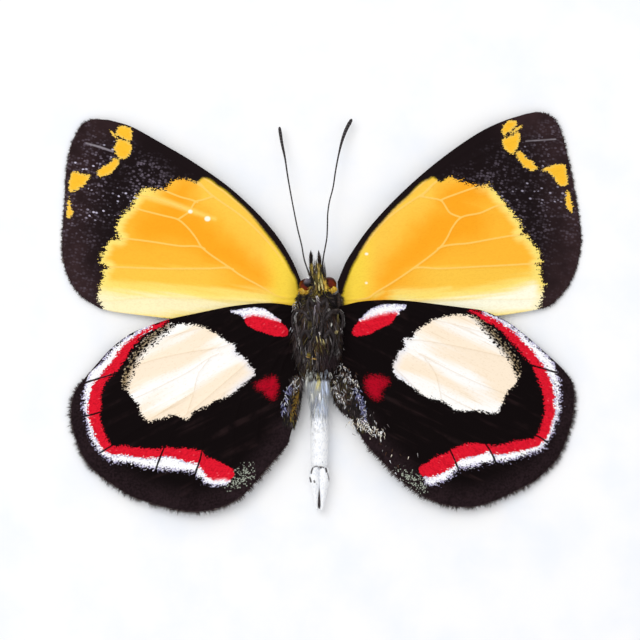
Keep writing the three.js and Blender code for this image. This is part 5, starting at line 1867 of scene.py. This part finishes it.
@dataclass
class Head:
    """The head with its hair, its two eyes, its palps and its coiled tongue."""

    core: Material
    hair: Material
    eye: Material
    tongue: Material
    middle: Point3 = (-2 * STEP, 44.5 * STEP, 2.0 * MM)
    radii: Point3 = (12.5 * STEP, 8.5 * STEP, 1.15 * MM)
    eye_radii: Point3 = (7.5 * STEP, 7.5 * STEP, 0.92 * MM)
    left_eye: Point3 = (9 * STEP, 45.5 * STEP, 2.0 * MM)
    right_eye: Point3 = (-13.5 * STEP, 44 * STEP, 2.0 * MM)
    hairs: int = 2600
    rim_scales: int = 900
    bristles: int = 620
    seed: int = 51

    def build_eye(self, name: str, middle: Sequence[float]) -> None:
        """Makes one eye in place of its solid."""
        parts = MeshParts()
        parts.add(*egg(middle, self.eye_radii, 48, 32))
        parts.finish(f"{name}_dome", self.eye, "eye", name)

    def build(self) -> None:
        """Makes the head and all that is on it."""
        parts = MeshParts()
        parts.add(*egg(self.middle, np.array(self.radii) * 0.9, 48, 32))
        parts.finish("head_core", self.core, "head_hair", "head")
        self.build_eye("left_eye", self.left_eye)
        self.build_eye("right_eye", self.right_eye)
        self.build_hair()
        self.build_palp("right_palp", [(-7.5, 47, 3.38), (-8.2, 56, 3.2), (-8.9, 68, 2.95), (-9.3, 79, 2.8)])
        self.build_palp("left_palp", [(-1.2, 47, 3.4), (-0.8, 56, 3.2), (-1, 68, 2.95), (-1.5, 79, 2.8)])
        self.build_tongue()

    def build_hair(self) -> None:
        """Makes the hair between the eyes, the scales round their lower rims and the dark scales in front."""
        rng = np.random.default_rng(self.seed)
        blades = Blades(rng)
        count = self.hairs
        turn = rng.uniform(0, 2 * math.pi, count)
        tilt = np.arcsin(rng.uniform(-0.35, 1, count))
        away = directions(tilt, turn)
        roots = np.array(self.middle) + away * np.array(self.radii) * 0.88
        clear = np.ones(count, bool)
        for eye in (self.left_eye, self.right_eye):
            gap = (roots - np.array(eye)) / np.array(self.eye_radii)
            clear &= np.linalg.norm(gap, axis=1) > 1.02
        roots, away = roots[clear], away[clear]
        count = len(roots)
        forward = value_at([(-0.6, -1.0), (0.6, 1.0)], (roots[:, 1] - self.middle[1]) / MM)
        ahead = away * 0.45 + stack(rng.normal(0, 0.25, count), forward, 0.0)
        palette = [(HAIR_OLIVE, 0.32), (HAIR_YELLOW, 0.3), (HAIR_BLACK, 0.22), (HAIR_BROWN, 0.1),
                   (HAIR_ASH, 0.06)]
        patches: list[Patch] = [
            ((325, 285), 4, [(rgb(226, 186, 60), 0.8), (HAIR_YELLOW, 0.2)]),
            ((309, 281), 6, [(rgb(52, 46, 54), 0.6), (HAIR_BLACK, 0.25), (HAIR_ASH, 0.15)]),
            ((309, 295), 4, [(rgb(196, 150, 44), 0.7), (HAIR_OLIVE, 0.3)])]
        lengths = rng.uniform(0.35, 0.95, count) * MM
        colours = colours_by_place(blades, roots, palette, patches)
        blades.add(roots, ahead, lengths, 0.05 * MM, colours, away, droop=0.1)
        self.add_rim(blades, self.left_eye, 0.0)
        self.add_rim(blades, self.right_eye, 0.45)
        # The dark tuft by the right eye turns grey towards its front: painted sheen.
        corners, faces = egg((-12 * STEP, 47 * STEP, 2.72 * MM), (4.3 * STEP, 4.8 * STEP, 0.4 * MM), 32, 20)
        share = smoothstep(corners[:, 1:2], 45 * STEP, 50 * STEP)
        tint = np.array(rgb(22, 16, 20)) * (1 - share) + np.array(rgb(112, 106, 116)) * share
        blades.parts.add(corners, faces, hair_colour=tint)
        add_locks(blades, self.locks(), coat_height)
        blades.parts.finish("head_hair", self.hair, "head_hair")

    def add_rim(self, blades: Blades, eye: Point3, dull: float) -> None:
        """Adds the scales round the lower rim of an eye.

        Args:
            blades: The hairs of the head.
            eye: The eye's middle.
            dull: How many of the scales are duller, as a share.
        """
        rng = blades.rng
        count = self.rim_scales
        turn = rng.uniform(math.pi * 1.12, math.pi * 1.88, count)
        tilt = rng.uniform(-0.2, 0.95, count)
        away = directions(tilt, turn)
        roots = np.array(eye) + away * np.array(self.eye_radii) * 1.02
        roots = roots[roots[:, 1] < eye[1] - (0.16 + 0.1 * dull) * MM]
        away = (roots - np.array(eye)) / np.array(self.eye_radii)
        count = len(roots)
        ahead = away * 0.5 + stack(rng.normal(0, 0.3, count), -0.6, 0.0)
        gold = [(rgb(232, 190, 58), 0.65 - dull), (rgb(196, 150, 44), 0.2 + dull),
                (rgb(246, 222, 120), 0.15)]
        blades.add(roots, ahead, rng.uniform(0.2, 0.45, count) * MM, 0.06 * MM,
                   blades.pick(gold, count, 0.15), away, droop=0.1)

    def locks(self) -> list[Lock]:
        """The locks over and between the palps."""
        gold = rgb(222, 186, 84)
        cream = rgb(226, 212, 146)
        black = HAIR_BLACK
        moss = rgb(112, 104, 50)
        return [(312.3, 284, 311.6, 258, 2.8, black), (311.5, 266, 311, 250, 0.9, black),
                (320, 270, 318.9, 257, 2, black), (319, 262, 318.7, 250.5, 0.7, black),
                (324.8, 281, 323.4, 259, 4, black), (323, 274, 322, 255.5, 5, black),
                (316.8, 284, 316, 262, 3.6, HAIR_OLIVE), (315, 274, 314.4, 257, 2.4, HAIR_DARK),
                (317, 272, 316.4, 256, 1.8, HAIR_DARK), (315.8, 270, 315.4, 259, 1.4, moss),
                (320.6, 284, 319.8, 263, 2.6, moss), (326, 291, 322.4, 269, 1.7, gold),
                (321.6, 287, 319, 272, 1.3, cream), (316, 291, 316.5, 276, 2.6, rgb(112, 92, 52)),
                (319.2, 291, 318.4, 278, 1.2, cream), (313.6, 291, 313.6, 276, 2.2, HAIR_DARK),
                (322.6, 290, 321.6, 278, 1.4, cream), (315.2, 285, 315, 281, 1, cream),
                # The near-white lock at 308.6, 279 on the sheet is a painted glint.
                (308.6, 279, 307.9, 276.2, 1.4, rgb(236, 236, 240)), (324, 292, 323, 281, 1.3, HAIR_BROWN),
                (317.8, 287, 317.6, 276, 0.9, HAIR_BLACK)]

    def build_palp(self, name: str, path: Sequence[Point3]) -> None:
        """Makes one palp: a thin stalk with long bristles, black outside and yellow inside."""
        rng = np.random.default_rng(self.seed + len(name))
        points = in_metres(path)
        line = smooth_path(points, 0.06 * MM)
        share = np.linspace(0, 1, len(line))
        radii = value_at([(0, 0.13), (0.35, 0.15), (0.8, 0.1), (1, 0.03)], share) * MM
        corners, faces = tube(line, radii, 14)
        blades = Blades(rng)
        blades.parts.add(corners, faces, hair_colour=np.tile(rgb(34, 27, 18), (len(corners), 1)))
        count = self.bristles
        at = rng.integers(0, int(len(line) * 0.93), count)
        turn = rng.uniform(0, 2 * math.pi, count)
        away = stack(np.cos(turn), 0.0, np.sin(turn))
        roots = line[at] + away * radii[at][:, None] * 0.8
        outer = -1.0 if name.startswith("right") else 1.0
        ahead = stack(away[:, 0] * 0.3, 1.0, away[:, 2] * 0.22 - 0.08)
        dark = (away[:, 0] * outer + rng.normal(0, 0.5, count) + share[at] * 1.2) > 0.55
        dark |= share[at] > 0.6
        colours = blades.pick([(HAIR_YELLOW, 0.55), (HAIR_OLIVE, 0.3), (HAIR_TAN, 0.15)], count)
        colours[dark] = blades.pick([(HAIR_BLACK, 0.85), (HAIR_BROWN, 0.15)], int(dark.sum()))
        lengths = rng.uniform(0.4, 1.0, count) * MM
        slope = np.abs(away[:, 0]) * rng.uniform(0.3, 1.1, count) * MM
        reach = np.where(dark, points[-1, 1] + 0.15 * MM - slope, 67 * STEP)
        room = np.maximum(reach - roots[:, 1], 0.12 * MM)
        blades.add(roots, ahead, np.minimum(lengths, room), 0.045 * MM, colours, away, droop=0.05)
        blades.parts.finish(f"{name}_bristles", self.hair, "palp_hair", name)

    def build_tongue(self) -> None:
        """Makes the tongue, coiled like a watch spring between the palps."""
        turns = 2
        share = np.linspace(0, 1, 97)
        angle = 2 * math.pi * turns * share
        radius = (0.44 + (0.12 - 0.44) * share) * MM
        spiral = stack(-4.8 * STEP, 57.5 * STEP - radius * np.cos(angle), 3.15 * MM - radius * np.sin(angle))
        ribs = 0.05 * MM * (1 - 0.45 * share) * (1 + 0.06 * np.sin(share * 60 * math.pi))
        parts = MeshParts()
        parts.add(*tube(spiral, ribs, 12))
        parts.finish("proboscis_coil", self.tongue, "tongue", "proboscis")


@dataclass
class Antenna:
    """A jointed feeler with a club at its tip."""

    name: str
    path: Sequence[Point3]
    finish: Material
    club: float = 0.17 * MM
    joints: int = 44

    def build(self) -> None:
        """Makes it in place of its solid."""
        line = smooth_path(in_metres(self.path), 0.035 * MM)
        share = np.linspace(0, 1, len(line))
        radii = value_at([(0, 0.12), (0.06, 0.075), (0.5, 0.07), (0.76, 0.085), (1, 0.085)], share) * MM
        radii += value_at([(0.76, 0), (0.9, 0.8), (0.97, 1), (0.99, 0.7), (1, 0)],
                          share) * (self.club - 0.085 * MM)
        radii = radii * (1 + 0.07 * np.abs(np.sin(share * self.joints * math.pi)) - 0.04)
        corners, faces = tube(line, radii, 12)
        length = float(np.linalg.norm(np.diff(line, axis=0), axis=1).sum()) / MM
        along = np.concatenate([np.repeat(share * length, 12), [0.0, length]])
        parts = MeshParts()
        parts.add(corners, faces, along=along)
        parts.finish(f"{self.name}_joints", self.finish, "antenna", self.name)


class LegKind(Enum):
    """The three legs of a side: hip to foot, as distance from the thorax's middle line and y, in steps."""

    FORELEG = ((3.5, 25), (8, 30), (9.5, 24), (6.5, 14), (4, 2), (3.2, -8))
    MIDLEG = ((8, 10), (14, 18), (22, 19), (25, 12), (24, 2), (21, -8), (18, -24))
    HINDLEG = ((7, -8), (12, -1), (16, -6), (15, -18), (12, -30), (8.5, -40))


@dataclass
class Leg:
    """A folded leg that lies on the thorax: scaled, with fine spines and two claws."""

    kind: LegKind
    side: int
    finish: Material
    clearance: float = 0.09 * MM
    spines: int = 34

    def build(self) -> None:
        """Makes it in place of its solid."""
        name = f"{'left' if self.side > 0 else 'right'}_{self.kind.name.lower()}"
        widths = [(0, 0.2), (0.28, 0.2), (0.36, 0.14), (0.6, 0.13), (0.66, 0.09), (1, 0.07)]
        points = []
        for index, (aside, y) in enumerate(self.kind.value):
            radius = float(value_at(widths, index / (len(self.kind.value) - 1))) * MM
            points.append((THORAX_AXIS_X + self.side * aside * STEP, y * STEP,
                           thorax_height(aside, y) + self.clearance + radius))
        line = smooth_path(points, 0.05 * MM)
        share = np.linspace(0, 1, len(line))
        radii = value_at(widths, share) * MM * 0.92
        radii *= 1 + 0.03 * np.sin(np.clip(share - 0.62, 0, 1) * 2 * math.pi * 13)
        radii[[0, -1]] *= 0.5
        parts = MeshParts()
        parts.add(*tube(line, radii, 12, 0.9))
        rng = np.random.default_rng(61 + self.side + len(name))
        for at in rng.integers(int(len(line) * 0.4), len(line) - 3, self.spines):
            turn = rng.uniform(-0.4, math.pi + 0.4)
            ahead = line[at + 1] - line[at]
            ahead /= np.linalg.norm(ahead)
            away = np.array([math.cos(turn), 0.0, math.sin(turn)])
            tip = line[at] + (ahead * 0.16 + away * 0.1) * MM + away * radii[at]
            spine = np.linspace(line[at] + away * radii[at] * 0.7, tip, 4)
            parts.add(*tube(spine, np.array([0.014, 0.012, 0.008, 0.002]) * MM, 4))
        for fork in (-1, 1):
            ahead = line[-1] - line[-3]
            ahead /= np.linalg.norm(ahead)
            aside = np.array([ahead[1], -ahead[0], 0.0]) * fork
            claw = [line[-1], line[-1] + (ahead * 0.09 + aside * 0.05) * MM,
                    line[-1] + (ahead * 0.15 + aside * 0.03 - np.array([0, 0, 0.04])) * MM]
            parts.add(*tube(np.array(claw), np.array([0.03, 0.02, 0.004]) * MM, 5))
        parts.finish(f"{name}_scaled", self.finish, "leg", name)


@dataclass
class InnerHair:
    """Long hair at the foot and along the inner edge of a hindwing."""

    name: str
    edge: Sequence[Point2]
    hair: Material
    palette: Palette
    patches: Sequence[Patch]
    out: float
    hairs: int = 2600
    depth: float = 1.1 * MM
    overhang: float = 0.15 * MM
    length: float = 0.7 * MM
    trails: Sequence[Trail] = ()
    seed: int = 71

    def build(self) -> None:
        """Makes the hair."""
        rng = np.random.default_rng(self.seed)
        line = smooth_path(np.array(self.edge, float) * STEP, 0.03 * MM)
        at = rng.integers(0, len(line), self.hairs)
        inward = rng.uniform(0, 1, self.hairs) ** 1.4 * self.depth - self.overhang
        along = unit(np.gradient(line, axis=0)[at])
        normal = stack(-along[:, 1], along[:, 0])
        normal *= np.sign(normal[:, :1] * self.out)
        plan = line[at] + normal * inward[:, None]
        height = membrane_height(plan[:, 0], plan[:, 1], True) + 0.06 * MM
        roots = np.column_stack([plan, height])
        ahead = stack(along[:, 0] * 0.7 + rng.normal(0, 0.22, self.hairs) - normal[:, 0] * 0.16,
                      along[:, 1] * 0.7 - 0.35, rng.uniform(0.0, 0.16, self.hairs))
        blades = Blades(rng)
        colours = colours_by_place(blades, roots, self.palette, self.patches)
        lengths = self.length * rng.uniform(0.45, 1.15, self.hairs)
        blades.add(roots, ahead, lengths, rng.uniform(0.03, 0.06, self.hairs) * MM, colours, droop=0.12)
        add_flecks(blades, self.trails)
        blades.parts.finish(self.name, self.hair, "hindwing_scales")


# Assembly


RIGHT_ANTENNA_PATH = [
    (-10, 54, 2.5), (-15.6, 70, 2.5), (-18.2, 84, 2.4), (-22.2, 100.4, 2.25), (-25.8, 118, 2.1),
    (-29.4, 137, 1.9), (-32.4, 154.5, 1.7), (-35, 172, 1.45), (-38.1, 187, 1.25), (-40.6, 203, 1.0)]
LEFT_ANTENNA_PATH = [
    (1.5, 55, 2.5), (3.6, 74, 2.5), (5.1, 82, 2.4), (6.8, 92, 2.3), (7.4, 104, 2.2), (7.7, 116, 2.1),
    (9.4, 128, 2.0), (13, 142.2, 1.85), (15.5, 158.6, 1.65), (18.6, 175, 1.45), (22.1, 189.2, 1.25),
    (26, 200, 1.12), (31.8, 211, 0.95)]


def build_wings() -> None:
    """Makes the four wings and their fringes."""
    fringe = HairFinish("fringe_scales", 0.8, 0.1).make()
    forewing_fringe = [(rgb(46, 34, 36), 0.85), (rgb(130, 116, 108), 0.15)]
    hindwing_fringe = [(rgb(44, 34, 36), 0.8), (rgb(104, 92, 88), 0.2)]
    sides = [("right", (0.6, 0.95), (-10, 26), (RIGHT_FOREWING, RIGHT_FOREWING_MARKS),
              (RIGHT_HINDWING, RIGHT_HINDWING_MARKS)),
             ("left", (1.0, 0.5), (6, -26), (LEFT_FOREWING, LEFT_FOREWING_MARKS),
              (LEFT_HINDWING, LEFT_HINDWING_MARKS))]
    for seed, (side, (bleached, speckled), turns, forewing, hindwing) in enumerate(sides):
        fore = ForewingFinish(math.radians(turns[0]), bleached=bleached, speckled=speckled)
        hind = HindwingFinish(math.radians(turns[1]))
        wings = [Wing(f"{side}_forewing", *forewing, "forewing_scales", fore.under(), fore.back(), fringe,
                      0.34 * MM, forewing_fringe, 10 + seed),
                 Wing(f"{side}_hindwing", *hindwing, "hindwing_scales", hind.under(), hind.back(), fringe,
                      0.62 * MM, hindwing_fringe, 20 + seed)]
        for wing in wings:
            wing.build()
            wing.build_fringe()


def build_body() -> None:
    """Makes the head, thorax, abdomen, claspers, feelers and legs."""
    hair = HairFinish("body_hair").make()
    core = CoreFinish("dry_skin", HAIR_BLACK, HAIR_BROWN).make()
    scales = AbdomenFinish().make()
    Thorax(core, hair).build()
    Abdomen(scales, hair).build()
    claspers = Claspers(scales)
    claspers.build("left_clasper", 1)
    claspers.build("right_clasper", -1)
    tongue = CoreFinish("tongue_skin", rgb(44, 26, 16), rgb(86, 54, 30), 0.4, 0.4, 12.0).make()
    Head(core, hair, EyeFinish().make(), tongue).build()
    feeler = AntennaFinish().make()
    Antenna("right_antenna", RIGHT_ANTENNA_PATH, feeler).build()
    Antenna("left_antenna", LEFT_ANTENNA_PATH, feeler, 0.2 * MM).build()
    leg = LegFinish().make()
    for kind in LegKind:
        for side in (1, -1):
            Leg(kind, side, leg).build()
    dark = [(HAIR_BLACK, 0.68), (HAIR_DARK, 0.2), (HAIR_OLIVE, 0.06), (HAIR_GREY, 0.06)]
    white = rgb(206, 206, 212)
    cream = rgb(222, 212, 196)
    lilac = rgb(126, 126, 164)
    amber = rgb(122, 92, 30)
    mixed = [(HAIR_ASH, 0.3), (white, 0.2), (HAIR_BROWN, 0.25), (HAIR_GREY, 0.15), (cream, 0.1)]
    bluish = [(lilac, 0.55), (white, 0.2), (rgb(60, 64, 92), 0.25)]
    tufted = [(cream, 0.4), (rgb(240, 240, 240), 0.3), (HAIR_BROWN, 0.3)]
    golden = [(amber, 0.5), (HAIR_OLIVE, 0.35), (HAIR_BROWN, 0.15)]
    mossy = [((343, 392), 8, [(HAIR_OLIVE, 0.15), (HAIR_BROWN, 0.25), (HAIR_BLACK, 0.6)])]
    InnerHair("left_hindwing_hair", [(16, -40), (14, -48), (14, -58), (17, -70), (26, -81), (36, -89),
                                     (39.5, -99)], hair, dark, mossy, out=1.0, hairs=3600, depth=2.0 * MM,
              overhang=0.22 * MM, seed=72, trails=[
        ([(335, 365), (344, 373), (352, 380), (356, 387)], 3.2, 110, mixed),
        ([(333, 378), (338, 392), (346, 404)], 3.4, 110, mixed),
        ([(356, 387), (360, 398), (364, 409), (364, 418)], 1.9, 100, bluish),
        ([(349, 418), (354, 422), (361, 424), (370, 428), (383, 434)], 2.2, 120, tufted),
        ([(350, 396), (372, 422), (392, 446), (404, 470)], 7, 40, mixed)]).build()
    InnerHair("right_hindwing_hair", [(-21.5, -44), (-19, -50), (-20, -62), (-21.5, -72), (-24, -85),
                                      (-27, -95)], hair, dark, [], out=-1.0, hairs=1800, depth=1.3 * MM,
              seed=73, trails=[
        ([(298, 374), (295.5, 382), (294, 391)], 2, 60, mixed),
        ([(290, 386), (286, 398), (284, 414)], 1.6, 70, bluish),
        ([(298, 390), (295, 404), (291, 420)], 1.8, 90, golden),
        ([(294, 304), (297, 312), (296, 324), (293, 333)], 2, 60, mixed)]).build()


def main() -> None:
    """Builds the studio and the specimen, piece by piece."""
    logging.basicConfig(level=logging.INFO, format="%(name)s %(message)s")
    LOG.info("the packed frame has %d nodes", len(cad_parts))
    studio = Studio()
    studio.camera()
    studio.floor()
    studio.light()
    build_wings()
    build_body()
    keep_sizes()


def keep_sizes() -> None:
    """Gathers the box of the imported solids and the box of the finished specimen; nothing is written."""
    boxes = {"cad": CAD_BOUNDS, "visual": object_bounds()}
    plain = {name: [list(corner) for corner in box] for name, box in boxes.items()}


if __name__ == "__main__":
    main()
